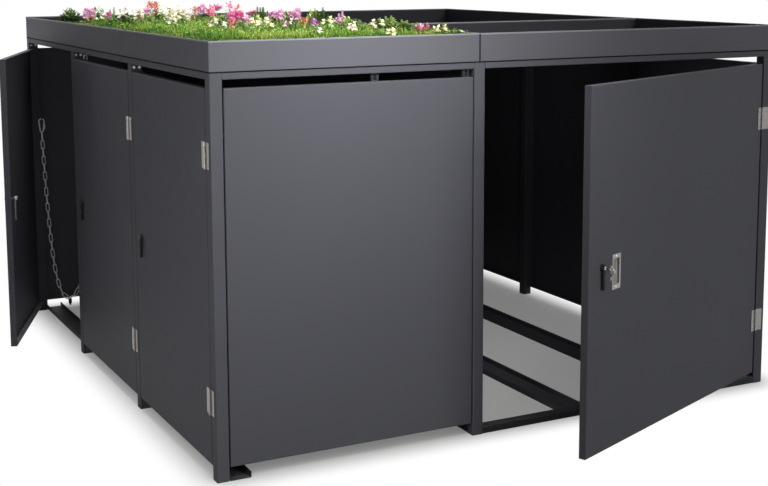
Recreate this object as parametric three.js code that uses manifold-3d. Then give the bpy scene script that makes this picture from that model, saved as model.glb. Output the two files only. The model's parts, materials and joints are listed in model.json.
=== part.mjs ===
import * as THREE from 'three';
import { mergeVertices } from 'three/addons/utils/BufferGeometryUtils.js';
import Module from 'manifold-3d';

// A steel locker for one or two bicycles and three wheeled bins, with planted trays for a roof.
// The bin bays stand in a row along the left side and the bike bay fills the right side.
// Millimetres: X runs along the front, Y to the back, Z up.
// The origin lies under the centre of the front left post.

// Driving dimensions of the whole locker
const binBayWidth = 900;
const bikeBayWidth = 1225;
const binPitch = 782;
const binCount = 3;
const postHeight = 1247;
const fitGap = 0.3;
const cutOverrun = 2;
const bendSegments = 1;

// Square posts, flat rails and the base
const postSize = 40;
const tubeWall = 2;
const tubeRadius = 3;
const footThickness = 4;
const railHeight = 22;
const thresholdHeight = 25;
const baseChannelWidth = 70;
const baseChannelHeight = 20;
const channelWall = 2.5;

// Wheel channels of the bike bay
const wheelChannelWidth = 95;
const wheelChannelHeight = 22;
const wheelChannelLength = 2240;
const wheelChannelShares = [0.34, 0.69];

// Folded sheet panels and doors
const panDepth = 25;
const sheet = 2;
const bendRadius = 3;
const panelBottom = 43;
const ventGap = 26;
const doorGap = 4;
const spacerRadius = 7;
const spacerSides = 8;
const spacerHeightShares = [0.12, 0.5, 0.88];
const clipWidth = 22;
const clipThickness = 3;
const clipShares = [0.59, 0.975];
const stiffenerWidth = 60;
const stiffenerDepth = 16;
const stiffenerInset = 30;

// Butt hinges, with their leaves on the outer faces
const hingeHeight = 80;
const leafWidth = 30;
const leafThickness = 2;
const knuckleRadius = 4;
const knuckleCount = 5;
const knuckleGap = 0.5;
const knuckleSides = 10;
const pinRadius = 2;
const pinHeadRadius = 3;
const pinHeadHeight = 1.5;
const hingeInsets = { lower: 202, upper: 199 };

// Lever handles with their spindles and cams
const lockHeight = 636;
const lockInset = 75;
const bossRadius = 12;
const bossLength = 12;
const bossSides = 20;
const leverLength = 70;
const leverWidth = 15;
const leverTipWidth = 13;
const leverThickness = 9;
const leverEdge = 1.2;
const spindleSize = 8;
const spindleSocket = 5;
const spindleHoleRadius = 6.2;
const spindleTail = 5;
const camWidth = 18;
const camThickness = 3;
const camGap = 2;
const camEngagement = 12;
const slotClearance = 2;

// Lock plug and key of the bike door
const plugRadius = 6.5;
const plugDepth = 6;
const plugProud = 1;
const keyWidth = 7;
const keyThickness = 2;
const keyShank = 9;
const keyBowRadius = 10;
const keyBowHole = 3;

// Flush pull of the bike door
const pullWidth = 50;
const pullHeight = 112;
const pullFlange = 1.5;
const pullInset = 159;
const pullCentre = 610;
const pullRim = 6;
const pullEnd = 15;
const pullCupDepth = 12;

// Roof trays, and the planting in the left one
const trayHeight = 92;
const traySeam = 3;
const plantMargin = 3;
const plantHeight = 112;
const plantRise = 34;
const plantCell = 130;
const plantWaveLengths = [640, 410, 265];

// Hanging chain of the rear bin bay
const chainStandOff = 8;
const chainWire = 2.3;
const chainWireSides = 4;
const chainLinkWidth = 18;
const chainPitch = 36;
const chainBite = 2.5;
const chainLinkSteps = 6;
const chainLow = 44;
const hookEyeHeight = 884;
const hookWidth = 30;
const hookLength = 66;
const hookWire = 3;
const hookTaper = 0.4;
const hookSteps = 12;
const railEyeInset = 232;
const eyeRadius = 9;
const eyeHole = 5;
const eyeThickness = 4;

// How far the two open doors stand open, in degrees
const rearBinDoorAngle = 21.5;
const bikeDoorAngle = 22.6;

// Places that follow from the driving dimensions
const half = postSize / 2;
const xMiddle = binBayWidth;
const xRight = binBayWidth + bikeBayWidth;
const yBack = binPitch * binCount;
const railBottom = postHeight - railHeight;
const panelHeight = railBottom - ventGap - panelBottom;
const hingeHeights = {
  lower: panelBottom + hingeInsets.lower,
  upper: panelBottom + panelHeight - hingeInsets.upper,
};
const clear = half + fitGap;
const hingeOffset = knuckleRadius + fitGap;
const camDepth = panDepth + camGap;
const camLength = lockInset + doorGap + camEngagement;
const trayBottom = postHeight + fitGap;
const chainPlane = yBack - half - chainStandOff;
const hookX = half + (eyeThickness - tubeWall) / 2;

const paint = new THREE.MeshStandardMaterial({ color: 0x3f4147, roughness: 0.5, metalness: 0.35 });
const darkPaint = new THREE.MeshStandardMaterial({ color: 0x2f3136, roughness: 0.55, metalness: 0.3 });
const stainless = new THREE.MeshStandardMaterial({ color: 0xb4b2b0, roughness: 0.3, metalness: 1 });
const zinc = new THREE.MeshStandardMaterial({ color: 0x9a9ea3, roughness: 0.35, metalness: 1 });
const blackCasting = new THREE.MeshStandardMaterial({ color: 0x17181a, roughness: 0.45, metalness: 0.1 });
const foliage = new THREE.MeshStandardMaterial({ color: 0x5d8f34, roughness: 0.9, metalness: 0 });

const wasm = await Module();
wasm.setup();

// Solids from closed meshes, and back
function toSolid(geometry) {
  const bare = geometry.clone();
  for (const name of Object.keys(bare.attributes)) {
    if (name !== 'position') bare.deleteAttribute(name);
  }
  const welded = mergeVertices(bare);
  return new wasm.Manifold(new wasm.Mesh({
    numProp: 3,
    vertProperties: new Float32Array(welded.attributes.position.array),
    triVerts: new Uint32Array(welded.index.array),
  }));
}

function toGeometry(solid) {
  const mesh = solid.getMesh();
  const geometry = new THREE.BufferGeometry();
  geometry.setAttribute('position', new THREE.BufferAttribute(new Float32Array(mesh.vertProperties), 3));
  geometry.setIndex(new THREE.BufferAttribute(new Uint32Array(mesh.triVerts), 1));
  geometry.computeVertexNormals();
  return geometry;
}

function join(geometries) {
  return toGeometry(geometries.map(toSolid).reduce((sum, solid) => sum.add(solid)));
}

function cut(geometry, tools) {
  return toGeometry(tools.map(toSolid).reduce((rest, solid) => rest.subtract(solid), toSolid(geometry)));
}

function overlap(first, second) {
  return toGeometry(toSolid(first).intersect(toSolid(second)));
}

// Basic forms
function block([x0, x1], [y0, y1], [z0, z1]) {
  const geometry = new THREE.BoxGeometry(Math.abs(x1 - x0), Math.abs(y1 - y0), Math.abs(z1 - z0));
  return geometry.translate((x0 + x1) / 2, (y0 + y1) / 2, (z0 + z1) / 2);
}

// Cylinders that start at the given point and run along +Z, +Y or +X
function rodUp(x, y, z, radius, length, sides = knuckleSides) {
  const geometry = new THREE.CylinderGeometry(radius, radius, length, sides);
  return geometry.rotateX(Math.PI / 2).translate(x, y, z + length / 2);
}

function rodBack(x, y, z, radius, length, sides = knuckleSides) {
  return new THREE.CylinderGeometry(radius, radius, length, sides).translate(x, y + length / 2, z);
}

function rodAcross(x, y, z, radius, length, sides = knuckleSides) {
  const geometry = new THREE.CylinderGeometry(radius, radius, length, sides);
  return geometry.rotateZ(Math.PI / 2).translate(x + length / 2, y, z);
}

// A tube along Z from z = 0, centred on the axis, with rounded outer edges
function tube(width, depth, length) {
  const [w, d] = [width / 2, depth / 2];
  const [iw, id] = [w - tubeWall, d - tubeWall];
  const shape = new THREE.Shape();
  shape.absarc(w - tubeRadius, d - tubeRadius, tubeRadius, 0, Math.PI / 2);
  shape.absarc(tubeRadius - w, d - tubeRadius, tubeRadius, Math.PI / 2, Math.PI);
  shape.absarc(tubeRadius - w, tubeRadius - d, tubeRadius, Math.PI, Math.PI * 1.5);
  shape.absarc(w - tubeRadius, tubeRadius - d, tubeRadius, Math.PI * 1.5, Math.PI * 2);
  shape.holes.push(new THREE.Path([
    new THREE.Vector2(-iw, -id), new THREE.Vector2(-iw, id), new THREE.Vector2(iw, id), new THREE.Vector2(iw, -id),
  ]));
  return new THREE.ExtrudeGeometry(shape, { depth: length, bevelEnabled: false, curveSegments: bendSegments });
}

// The bent outline of a folded sheet: a flat of the given span at y = 0 with returns up to the depth
function bentOutline(span, depth) {
  const shape = new THREE.Shape();
  shape.moveTo(0, depth);
  shape.lineTo(0, bendRadius);
  shape.absarc(bendRadius, bendRadius, bendRadius, Math.PI, Math.PI * 1.5);
  shape.absarc(span - bendRadius, bendRadius, bendRadius, Math.PI * 1.5, Math.PI * 2);
  shape.lineTo(span, depth);
  return shape;
}

// A folded pan: outer face at y = 0, returns to +Y, from x = 0 to width and z = 0 to height
function foldedPan(width, height, depth) {
  const options = (length) => ({ depth: length, bevelEnabled: false, curveSegments: bendSegments });
  const across = new THREE.ExtrudeGeometry(bentOutline(width, depth), options(height));
  const along = new THREE.ExtrudeGeometry(bentOutline(height, depth), options(width));
  along.rotateY(-Math.PI / 2).translate(width, 0, 0);
  const inside = block([sheet, width - sheet], [sheet, depth + cutOverrun], [sheet, height - sheet]);
  return cut(overlap(across, along), [inside]);
}

// A folded channel along +Y, open at the top, from x = 0 to width on z = 0
function channel(width, height, length) {
  const shape = bentOutline(width, height);
  shape.lineTo(width - channelWall, height);
  shape.lineTo(width - channelWall, channelWall);
  shape.lineTo(channelWall, channelWall);
  shape.lineTo(channelWall, height);
  const geometry = new THREE.ExtrudeGeometry(shape, { depth: length, bevelEnabled: false, curveSegments: bendSegments });
  return geometry.rotateX(Math.PI / 2).translate(0, length, 0);
}

const locker = new THREE.Group();

function place(parent, name, geometry, material, x = 0, y = 0, z = 0) {
  const mesh = new THREE.Mesh(geometry, material);
  mesh.name = name;
  mesh.position.set(x, y, z);
  parent.add(mesh);
  return mesh;
}

function group(parent, x, y, z, turn) {
  const child = new THREE.Group();
  child.position.set(x, y, z);
  child.rotation.z = turn;
  parent.add(child);
  return child;
}

// Posts

// Slots in a post that take the cams of the doors beside it; each toward is the way to the door
function strikeSlot(toward, outward) {
  const depths = [half - camDepth + slotClearance, half - camDepth - camThickness - slotClearance];
  const reach = [half - tubeWall - cutOverrun, half + cutOverrun];
  const low = lockHeight - camWidth / 2 - slotClearance - Math.sqrt(camLength ** 2 - (lockInset + doorGap) ** 2);
  const high = lockHeight + camWidth / 2 + slotClearance;
  const span = (way, values) => values.map((value) => value * way);
  if (toward.y) {
    return block(span(outward.x, depths), span(toward.y, reach), [low, high]);
  }
  return block(span(toward.x, reach), span(outward.y, depths), [low, high]);
}

function post(height, slots = [], extras = []) {
  const inner = half - tubeWall / 2;
  const foot = block([-inner, inner], [-inner, inner], [0, footThickness]);
  const solid = join([tube(postSize, postSize, height), foot, ...extras]);
  return slots.length ? cut(solid, slots) : solid;
}

// An eye plate that stands out to the front of a post or rail face at y, and runs back past it by its tail
function eye(x, y, z, tail) {
  const start = x - eyeThickness / 2;
  const disc = rodAcross(start, y - chainStandOff, z, eyeRadius, eyeThickness, bossSides);
  const plate = block([start, start + eyeThickness], [y - chainStandOff, y + tail], [z - eyeRadius, z + eyeRadius]);
  const hole = rodAcross(start - cutOverrun, y - chainStandOff, z, eyeHole, eyeThickness + 2 * cutOverrun);
  return cut(join([disc, plate]), [hole]);
}

function buildPosts() {
  const toFront = { x: 0, y: -1 };
  const toBack = { x: 0, y: 1 };
  const toLeft = { x: -1, y: 0 };
  const toRight = { x: 1, y: 0 };
  const shortHeight = railBottom - fitGap;
  const corner = post(postHeight);
  place(locker, 'post_front_left', corner, paint);
  place(locker, 'post_front_middle', post(postHeight, [strikeSlot(toRight, toFront)]), paint, xMiddle);
  place(locker, 'post_front_right', corner, paint, xRight);
  const hookEye = eye(hookX, -half, hookEyeHeight, half);
  place(locker, 'post_back_left', post(postHeight, [], [hookEye]), paint, 0, yBack);
  place(locker, 'post_back_middle', corner, paint, xMiddle, yBack);
  place(locker, 'post_back_right', corner, paint, xRight, yBack);
  for (let i = 1; i < binCount; i += 1) {
    const slots = [strikeSlot(toFront, toLeft)];
    if (i === binCount - 1) slots.push(strikeSlot(toBack, toLeft));
    place(locker, `post_left_${i}`, post(shortHeight, slots), paint, 0, i * binPitch);
    place(locker, `post_right_${i}`, post(shortHeight), paint, xRight, i * binPitch);
  }
}

// Rails

function railAlongX(x0, x1, height, extras = []) {
  const length = x1 - x0 - 2 * clear;
  const rail = tube(height, postSize, length).rotateY(Math.PI / 2).translate(x0 + clear, 0, height / 2);
  return extras.length ? join([rail, ...extras]) : rail;
}

function railAlongY(y0, y1, height) {
  const length = y1 - y0 - 2 * clear;
  return tube(postSize, height, length).rotateX(-Math.PI / 2).translate(0, y0 + clear, height / 2);
}

function buildRails() {
  const binSpan = railAlongX(0, xMiddle, railHeight);
  const bikeSpan = railAlongX(xMiddle, xRight, railHeight);
  const longSpan = railAlongY(0, yBack, railHeight);
  const chainEye = eye(railEyeInset, -half, railHeight / 2, tubeWall / 2);
  place(locker, 'top_rail_front_left', binSpan, paint, 0, 0, railBottom);
  place(locker, 'top_rail_front_right', bikeSpan, paint, 0, 0, railBottom);
  place(locker, 'top_rail_back_left', railAlongX(0, xMiddle, railHeight, [chainEye]), paint, 0, yBack, railBottom);
  place(locker, 'top_rail_back_right', bikeSpan, paint, 0, yBack, railBottom);
  place(locker, 'top_rail_left', longSpan, paint, 0, 0, railBottom);
  place(locker, 'top_rail_middle', longSpan, paint, xMiddle, 0, railBottom);
  place(locker, 'top_rail_right', longSpan, paint, xRight, 0, railBottom);
  for (let i = 1; i < binCount; i += 1) {
    place(locker, `roof_bearer_left_${i}`, binSpan, darkPaint, 0, i * binPitch, railBottom);
  }
  place(locker, 'roof_bearer_right', bikeSpan, darkPaint, 0, binPitch, railBottom);
}

function buildBase() {
  const sideChannel = channel(baseChannelWidth, baseChannelHeight, yBack + postSize);
  place(locker, 'base_channel_left', sideChannel, darkPaint, clear, -half);
  place(locker, 'base_rail_middle', railAlongY(0, yBack, thresholdHeight), darkPaint, xMiddle);
  place(locker, 'threshold_rail', railAlongX(xMiddle, xRight, thresholdHeight), darkPaint);
  const wheelChannel = channel(wheelChannelWidth, wheelChannelHeight, wheelChannelLength);
  wheelChannelShares.forEach((share, i) => {
    const centre = xMiddle + bikeBayWidth * share;
    place(locker, `wheel_channel_${i + 1}`, wheelChannel, darkPaint, centre - wheelChannelWidth / 2, clear);
  });
}

// Fixed panels

// A pan between two posts, held off them by spacers; clips run up to the rail above
function panel(bay, clips = []) {
  const width = bay - postSize - 2 * doorGap;
  const reach = doorGap - fitGap;
  const spacers = spacerHeightShares.flatMap((share) => [-reach, width - sheet / 2].map((x) => (
    rodAcross(x, panDepth / 2, panelHeight * share, spacerRadius, reach + sheet / 2, spacerSides)
  )));
  const tabs = clips.map((share) => {
    const x = width * share;
    const depth = [panDepth / 2, panDepth / 2 + clipThickness];
    return block([x - clipWidth / 2, x + clipWidth / 2], depth, [panelHeight - sheet / 2, panelHeight + ventGap - fitGap]);
  });
  return join([foldedPan(width, panelHeight, panDepth), ...spacers, ...tabs]);
}

function buildPanels() {
  const inset = half + doorGap;
  const front = group(locker, inset, -half, panelBottom, 0);
  place(front, 'front_panel', panel(binBayWidth, clipShares), paint);
  const backLeft = group(locker, xMiddle - inset, yBack + half, panelBottom, Math.PI);
  place(backLeft, 'back_panel_left', panel(binBayWidth), paint);
  const backRight = group(locker, xRight - inset, yBack + half, panelBottom, Math.PI);
  place(backRight, 'back_panel_right', panel(bikeBayWidth), paint);
  const sidePanel = panel(binPitch);
  for (let i = 0; i < binCount; i += 1) {
    const side = group(locker, xRight + half, i * binPitch + inset, panelBottom, Math.PI / 2);
    place(side, `side_panel_${i + 1}`, sidePanel, paint);
  }
  const middle = group(locker, xMiddle + panDepth / 2, inset, panelBottom, Math.PI / 2);
  place(middle, 'partition_panel', panel(yBack), paint);
}

// Hinges, in a frame whose origin is on the pin and whose outer faces lie at y = hingeOffset

function knuckleZone(i) {
  const step = hingeHeight / knuckleCount;
  return [i * step + knuckleGap / 2, (i + 1) * step - knuckleGap / 2];
}

// One leaf with its own knuckles, from z = 0; way is the side of the pin on which it lies
function hingeLeaf(way, parity, backFace) {
  const depth = [hingeOffset - fitGap - leafThickness, backFace];
  const edge = knuckleRadius + knuckleGap;
  const pieces = [block([way * edge, way * leafWidth], depth, [0, hingeHeight])];
  for (let i = parity; i < knuckleCount; i += 2) {
    const [z0, z1] = knuckleZone(i);
    pieces.push(rodUp(0, 0, z0, knuckleRadius, z1 - z0));
    pieces.push(block([0, way * (edge + leafThickness)], [depth[0], hingeOffset - fitGap], [z0, z1]));
  }
  return pieces;
}

function frameLeaf(way) {
  const pin = rodUp(0, 0, -pinHeadHeight, pinRadius, hingeHeight + 2 * pinHeadHeight);
  const heads = [-pinHeadHeight, hingeHeight - knuckleGap / 2].map((z) => (
    rodUp(0, 0, z, pinHeadRadius, pinHeadHeight + knuckleGap / 2)
  ));
  return join([...hingeLeaf(way, 0, hingeOffset - fitGap), pin, ...heads]);
}

function doorLeaf(way) {
  const bore = rodUp(0, 0, -cutOverrun, pinRadius + fitGap, hingeHeight + 2 * cutOverrun);
  return cut(join(hingeLeaf(way, 1, hingeOffset + sheet / 2)), [bore]);
}

// Doors, in the same frame: way is +1 or -1 as the door runs from its pin to +X or -X

function handleSolid(hasPlug) {
  const front = -bossLength;
  const boss = rodBack(0, front, 0, bossRadius, bossLength, bossSides);
  const outline = new THREE.Shape();
  outline.moveTo(-leverWidth / 2, 0);
  outline.lineTo(-leverTipWidth / 2, leverTipWidth / 2 - leverLength);
  outline.absarc(0, leverTipWidth / 2 - leverLength, leverTipWidth / 2, Math.PI, Math.PI * 2);
  outline.lineTo(leverWidth / 2, 0);
  const lever = new THREE.ExtrudeGeometry(outline, {
    depth: leverThickness - 2 * leverEdge,
    curveSegments: 6,
    bevelThickness: leverEdge,
    bevelSize: leverEdge,
    bevelOffset: -leverEdge,
    bevelSegments: 1,
  });
  lever.rotateX(Math.PI / 2).translate(0, front + leverThickness - leverEdge, 0);
  const socketSize = spindleSize / 2 + fitGap;
  const cuts = [block([-socketSize, socketSize], [-spindleSocket, cutOverrun], [-socketSize, socketSize])];
  if (hasPlug) {
    cuts.push(rodBack(0, front - cutOverrun, 0, plugRadius + fitGap, plugDepth + cutOverrun, bossSides));
  }
  return cut(join([boss, lever]), cuts);
}

// The spindle runs from its socket in the handle to the cam behind the door
function camSolid() {
  const face = fitGap + camDepth;
  const s = spindleSize / 2;
  const spindle = block([-s, s], [fitGap - spindleSocket, face + camThickness + spindleTail], [-s, s]);
  const arm = block([-camWidth / 2, camWidth / 2], [face, face + camThickness], [camWidth / 2 - camLength, 0]);
  const ends = [0, camWidth / 2 - camLength].map((z) => (
    rodBack(0, face, z, camWidth / 2, camThickness, bossSides)
  ));
  return join([spindle, arm, ...ends]);
}

function keySolid() {
  const front = -bossLength - plugProud;
  const plug = rodBack(0, front, 0, plugRadius, plugDepth + plugProud - fitGap, bossSides);
  const shankEnd = front - keyShank;
  const t = keyThickness / 2;
  const shank = block([-t, t], [shankEnd, front + plugProud], [-keyWidth / 2, keyWidth / 2]);
  const bowCentre = shankEnd - keyBowRadius + keyThickness;
  const bow = rodAcross(-t, bowCentre, 0, keyBowRadius, keyThickness, bossSides);
  const hole = rodAcross(-t - cutOverrun, bowCentre - keyBowRadius / 2, 0, keyBowHole, keyThickness + 2 * cutOverrun);
  return cut(join([plug, shank, bow]), [hole]);
}

// The pull plate, centred on its own middle, with its flange on the face at y = 0
function pullSolid() {
  const [w, h] = [pullWidth / 2, pullHeight / 2];
  const [cupW, cupH] = [w - pullRim, h - pullEnd];
  const flange = block([-w, w], [-fitGap - pullFlange, -fitGap], [-h, h]);
  const cup = block([-cupW, cupW], [-fitGap - pullFlange, pullCupDepth], [-cupH, cupH]);
  const hollow = block(
    [pullFlange - cupW, cupW - pullFlange],
    [-pullFlange - cutOverrun, pullCupDepth - pullFlange],
    [pullFlange - cupH, cupH - pullFlange],
  );
  return cut(join([flange, cup]), [hollow]);
}

function doorSolid(width, way, hasPull, stiffened) {
  const toWay = (distance) => way * (doorGap / 2 + distance);
  const start = way > 0 ? doorGap / 2 : -doorGap / 2 - width;
  const pan = foldedPan(width, panelHeight, panDepth).translate(start, hingeOffset, 0);
  const pieces = [pan];
  for (const centre of Object.values(hingeHeights)) {
    pieces.push(doorLeaf(way).translate(0, 0, centre - hingeHeight / 2 - panelBottom));
  }
  if (stiffened) {
    const x = toWay(width / 2);
    const wide = stiffenerWidth / 2;
    const heights = [stiffenerInset, panelHeight - stiffenerInset];
    const back = hingeOffset + sheet + stiffenerDepth;
    const hat = block([x - wide, x + wide], [hingeOffset + sheet / 2, back], heights);
    const tunnel = block(
      [x - wide + sheet, x + wide - sheet],
      [hingeOffset + sheet, back - sheet],
      [heights[0] - cutOverrun, heights[1] + cutOverrun],
    );
    pieces.push(cut(hat, [tunnel]));
  }
  const spindleX = toWay(width - lockInset);
  const through = sheet + 2 * cutOverrun;
  const lockZ = lockHeight - panelBottom;
  const holes = [rodBack(spindleX, hingeOffset - cutOverrun, lockZ, spindleHoleRadius, through, bossSides)];
  if (hasPull) {
    const x = toWay(width - pullInset);
    const w = pullWidth / 2 - pullRim + fitGap;
    const h = pullHeight / 2 - pullEnd + fitGap;
    const z = pullCentre - panelBottom;
    holes.push(block([x - w, x + w], [hingeOffset - cutOverrun, hingeOffset + sheet + cutOverrun], [z - h, z + h]));
  }
  return cut(join(pieces), holes);
}

// A door on its pin at (x, y); base turns its outer face from -Y, and angle swings it outwards
function buildDoor({ name, bay, x, y, base, way, angle = 0, isBikeDoor = false }) {
  const width = bay - postSize - 2 * doorGap;
  const hinge = group(locker, x, y, 0, base);
  for (const [level, centre] of Object.entries(hingeHeights)) {
    place(hinge, `${name}_hinge_${level}`, frameLeaf(-way), stainless, 0, 0, centre - hingeHeight / 2);
  }
  const swing = group(hinge, 0, 0, panelBottom, THREE.MathUtils.degToRad(-way * angle));
  place(swing, name, doorSolid(width, way, isBikeDoor, isBikeDoor), paint);
  const spindleX = way * (doorGap / 2 + width - lockInset);
  const lock = group(swing, spindleX, hingeOffset - fitGap, lockHeight - panelBottom, 0);
  place(lock, `${name}_handle`, handleSolid(isBikeDoor), blackCasting);
  place(lock, `${name}_cam`, camSolid(), zinc);
  if (isBikeDoor) {
    place(lock, `${name}_key`, keySolid(), zinc);
    const pullX = way * (doorGap / 2 + width - pullInset);
    place(swing, `${name}_pull`, pullSolid(), stainless, pullX, hingeOffset, pullCentre - panelBottom);
  }
}

function buildDoors() {
  const pinInset = half + doorGap / 2;
  const pinOut = half + hingeOffset;
  const towardLeft = -Math.PI / 2;
  buildDoor({
    name: 'bike_door', bay: bikeBayWidth, x: xRight - pinInset, y: -pinOut, base: 0, way: -1,
    angle: bikeDoorAngle, isBikeDoor: true,
  });
  for (let i = 0; i < binCount; i += 1) {
    const isRear = i === binCount - 1;
    buildDoor({
      name: `bin_door_${i + 1}`,
      bay: binPitch,
      x: -pinOut,
      y: isRear ? yBack - pinInset : i * binPitch + pinInset,
      base: towardLeft,
      way: isRear ? 1 : -1,
      angle: isRear ? rearBinDoorAngle : 0,
    });
  }
}

// Roof trays

function tray(width, length) {
  return foldedPan(width, length, trayHeight).rotateX(Math.PI / 2).translate(0, length, 0);
}

// Turf and flowers as one low hilly mass: the top of a gridded block is lifted in soft waves
function plantingSolid(width, length) {
  const columns = Math.round(width / plantCell);
  const rows = Math.round(length / plantCell);
  const geometry = new THREE.BoxGeometry(width, length, plantHeight, columns, rows, 1);
  geometry.translate(width / 2, length / 2, plantHeight / 2);
  const points = geometry.attributes.position;
  for (let i = 0; i < points.count; i += 1) {
    const [x, y, z] = [points.getX(i), points.getY(i), points.getZ(i)];
    if (z < plantHeight / 2) continue;
    const wave = plantWaveLengths.reduce((sum, step, k) => (
      sum + Math.sin((x / step) * Math.PI * 2 + k) * Math.cos((y / step) * Math.PI * 2 - k)
    ), 0) / plantWaveLengths.length;
    const crown = Math.sin((x / width) * Math.PI) * Math.sin((y / length) * Math.PI);
    points.setZ(i, z + plantRise * crown * (1 + wave));
  }
  return geometry;
}

function buildRoof() {
  const length = yBack + postSize;
  const leftWidth = xMiddle + half - traySeam / 2;
  const rightStart = xMiddle + traySeam / 2;
  const rightWidth = xRight + half - rightStart;
  const frontLength = binPitch + half - traySeam / 2;
  const backStart = binPitch + traySeam / 2;
  place(locker, 'roof_tray_left', tray(leftWidth, length), paint, -half, -half, trayBottom);
  place(locker, 'roof_tray_front_right', tray(rightWidth, frontLength), paint, rightStart, -half, trayBottom);
  const backLength = yBack + half - backStart;
  place(locker, 'roof_tray_back_right', tray(rightWidth, backLength), paint, rightStart, backStart, trayBottom);
  const inset = sheet + plantMargin;
  const planting = plantingSolid(leftWidth - 2 * inset, length - 2 * inset);
  const corner = inset - half;
  place(locker, 'roof_planting', planting, foliage, corner, corner, trayBottom + sheet + fitGap);
}

// Chain with a snap hook, hanging as a catenary in front of the back panel of the rear bin bay

// A closed ring in the XZ plane: straight sides between two bent ends, centred on the origin
function ring(width, length, wire, ends, taper = 0) {
  const bend = width / 2 - wire;
  const geometry = new THREE.TorusGeometry(bend, wire, chainWireSides, ends);
  geometry.rotateZ(Math.PI / ends);
  const stretch = length / 2 - wire - bend * Math.cos(Math.PI / ends);
  const points = geometry.attributes.position;
  for (let i = 0; i < points.count; i += 1) {
    const y = points.getY(i);
    const narrow = 1 - (y < 0 ? taper : 0);
    points.setX(i, points.getX(i) * narrow);
    points.setY(i, y + Math.sign(y) * stretch);
  }
  return geometry.rotateX(Math.PI / 2);
}

// Distance along a catenary of the given size from its low point up to a rise above it
function catenaryRun(size, rise) {
  return size * Math.acosh(1 + rise / size);
}

function buildChain() {
  const hookTop = hookEyeHeight - eyeHole + fitGap + 2 * hookWire;
  const hookLow = hookTop - hookLength;
  const start = new THREE.Vector2(hookX, hookLow + hookWire - chainWire);
  const end = new THREE.Vector2(railEyeInset, railBottom + railHeight / 2 - eyeHole + fitGap + 2 * chainWire);
  const span = end.x - start.x;
  let [small, large] = [1, span];
  for (let i = 0; i < 60; i += 1) {
    const size = (small + large) / 2;
    if (catenaryRun(size, start.y - chainLow) + catenaryRun(size, end.y - chainLow) < span) small = size;
    else large = size;
  }
  const size = small;
  const lowX = start.x + catenaryRun(size, start.y - chainLow);
  const lengthTo = (x) => size * Math.sinh((x - lowX) / size);
  const [first, last] = [lengthTo(start.x), lengthTo(end.x)];
  const count = 2 * Math.round((last - first) / chainPitch / 2);
  const joint = (k) => {
    const s = first + ((last - first) * k) / count;
    return new THREE.Vector2(lowX + size * Math.asinh(s / size), chainLow - size + Math.hypot(size, s));
  };
  const hook = ring(hookWidth, hookLength, hookWire, hookSteps, hookTaper);
  const links = [hook.translate(hookX, 0, hookLow + hookLength / 2)];
  for (let k = 0; k < count; k += 1) {
    const [a, b] = [joint(k), joint(k + 1)];
    const link = ring(chainLinkWidth, a.distanceTo(b) + 2 * chainWire + chainBite, chainWire, chainLinkSteps);
    if (k % 2 === 0) link.rotateZ(Math.PI / 2);
    link.rotateY(Math.atan2(b.x - a.x, b.y - a.y));
    links.push(link.translate((a.x + b.x) / 2, 0, (a.y + b.y) / 2));
  }
  place(locker, 'bin_chain', join(links), zinc, 0, chainPlane);
}

buildPosts();
buildRails();
buildBase();
buildPanels();
buildDoors();
buildRoof();
buildChain();

export default locker;
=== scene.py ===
import bmesh
import bpy
import json
import math
import random
from mathutils import Matrix, Vector, noise


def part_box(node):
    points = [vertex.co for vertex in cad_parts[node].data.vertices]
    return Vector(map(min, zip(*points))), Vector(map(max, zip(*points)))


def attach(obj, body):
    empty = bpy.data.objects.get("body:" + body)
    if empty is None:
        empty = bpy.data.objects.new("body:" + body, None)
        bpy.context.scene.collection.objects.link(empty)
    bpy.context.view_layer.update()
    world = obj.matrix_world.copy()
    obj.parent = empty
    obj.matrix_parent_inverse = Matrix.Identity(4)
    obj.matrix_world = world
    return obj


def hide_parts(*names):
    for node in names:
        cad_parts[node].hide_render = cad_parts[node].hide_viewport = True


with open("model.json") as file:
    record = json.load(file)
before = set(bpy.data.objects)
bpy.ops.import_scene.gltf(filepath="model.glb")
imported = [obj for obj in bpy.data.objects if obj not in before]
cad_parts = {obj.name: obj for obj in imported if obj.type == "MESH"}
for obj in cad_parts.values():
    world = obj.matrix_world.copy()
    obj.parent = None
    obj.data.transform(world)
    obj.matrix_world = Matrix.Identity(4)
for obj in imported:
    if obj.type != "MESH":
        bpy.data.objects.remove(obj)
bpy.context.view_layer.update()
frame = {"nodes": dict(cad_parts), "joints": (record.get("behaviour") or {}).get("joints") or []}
nodes = frame["nodes"]
joints = {joint["name"]: joint for joint in frame["joints"]}
scene = bpy.context.scene
mm = 0.001
print("frame loaded:", len(nodes), "nodes")

# Camera, at the photograph's place and angle

cameraSetup = {
    "place": (-1.3434, -3.7048, 1.5447),
    "yaw": 0.4750,
    "pitch": 0.1345,
    "roll": -0.0037,
    "lens": 62.66,
    "sensor": 36.0,
    "shiftY": -0.1211,
}


def aimTurn(look):
    return look.to_track_quat("-Z", "Y").to_matrix().to_4x4()


def buildCamera():
    data = bpy.data.cameras.new("camera")
    data.lens = cameraSetup["lens"]
    data.sensor_width = cameraSetup["sensor"]
    data.shift_y = cameraSetup["shiftY"]
    camera = bpy.data.objects.new("camera", data)
    yaw, pitch, roll = cameraSetup["yaw"], cameraSetup["pitch"], cameraSetup["roll"]
    look = Vector((math.sin(yaw) * math.cos(pitch), math.cos(yaw) * math.cos(pitch), -math.sin(pitch)))
    place = Matrix.Translation(cameraSetup["place"])
    camera.matrix_world = place @ aimTurn(look) @ Matrix.Rotation(roll, 4, "Z")
    scene.collection.objects.link(camera)
    scene.camera = camera


# Node helpers


def addNode(tree, kind, **settings):
    node = tree.nodes.new("ShaderNode" + kind)
    for key, value in settings.items():
        setattr(node, key, value)
    return node


def feed(tree, socket, value):
    if hasattr(value, "is_output"):
        tree.links.new(value, socket)
    else:
        socket.default_value = value


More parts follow.
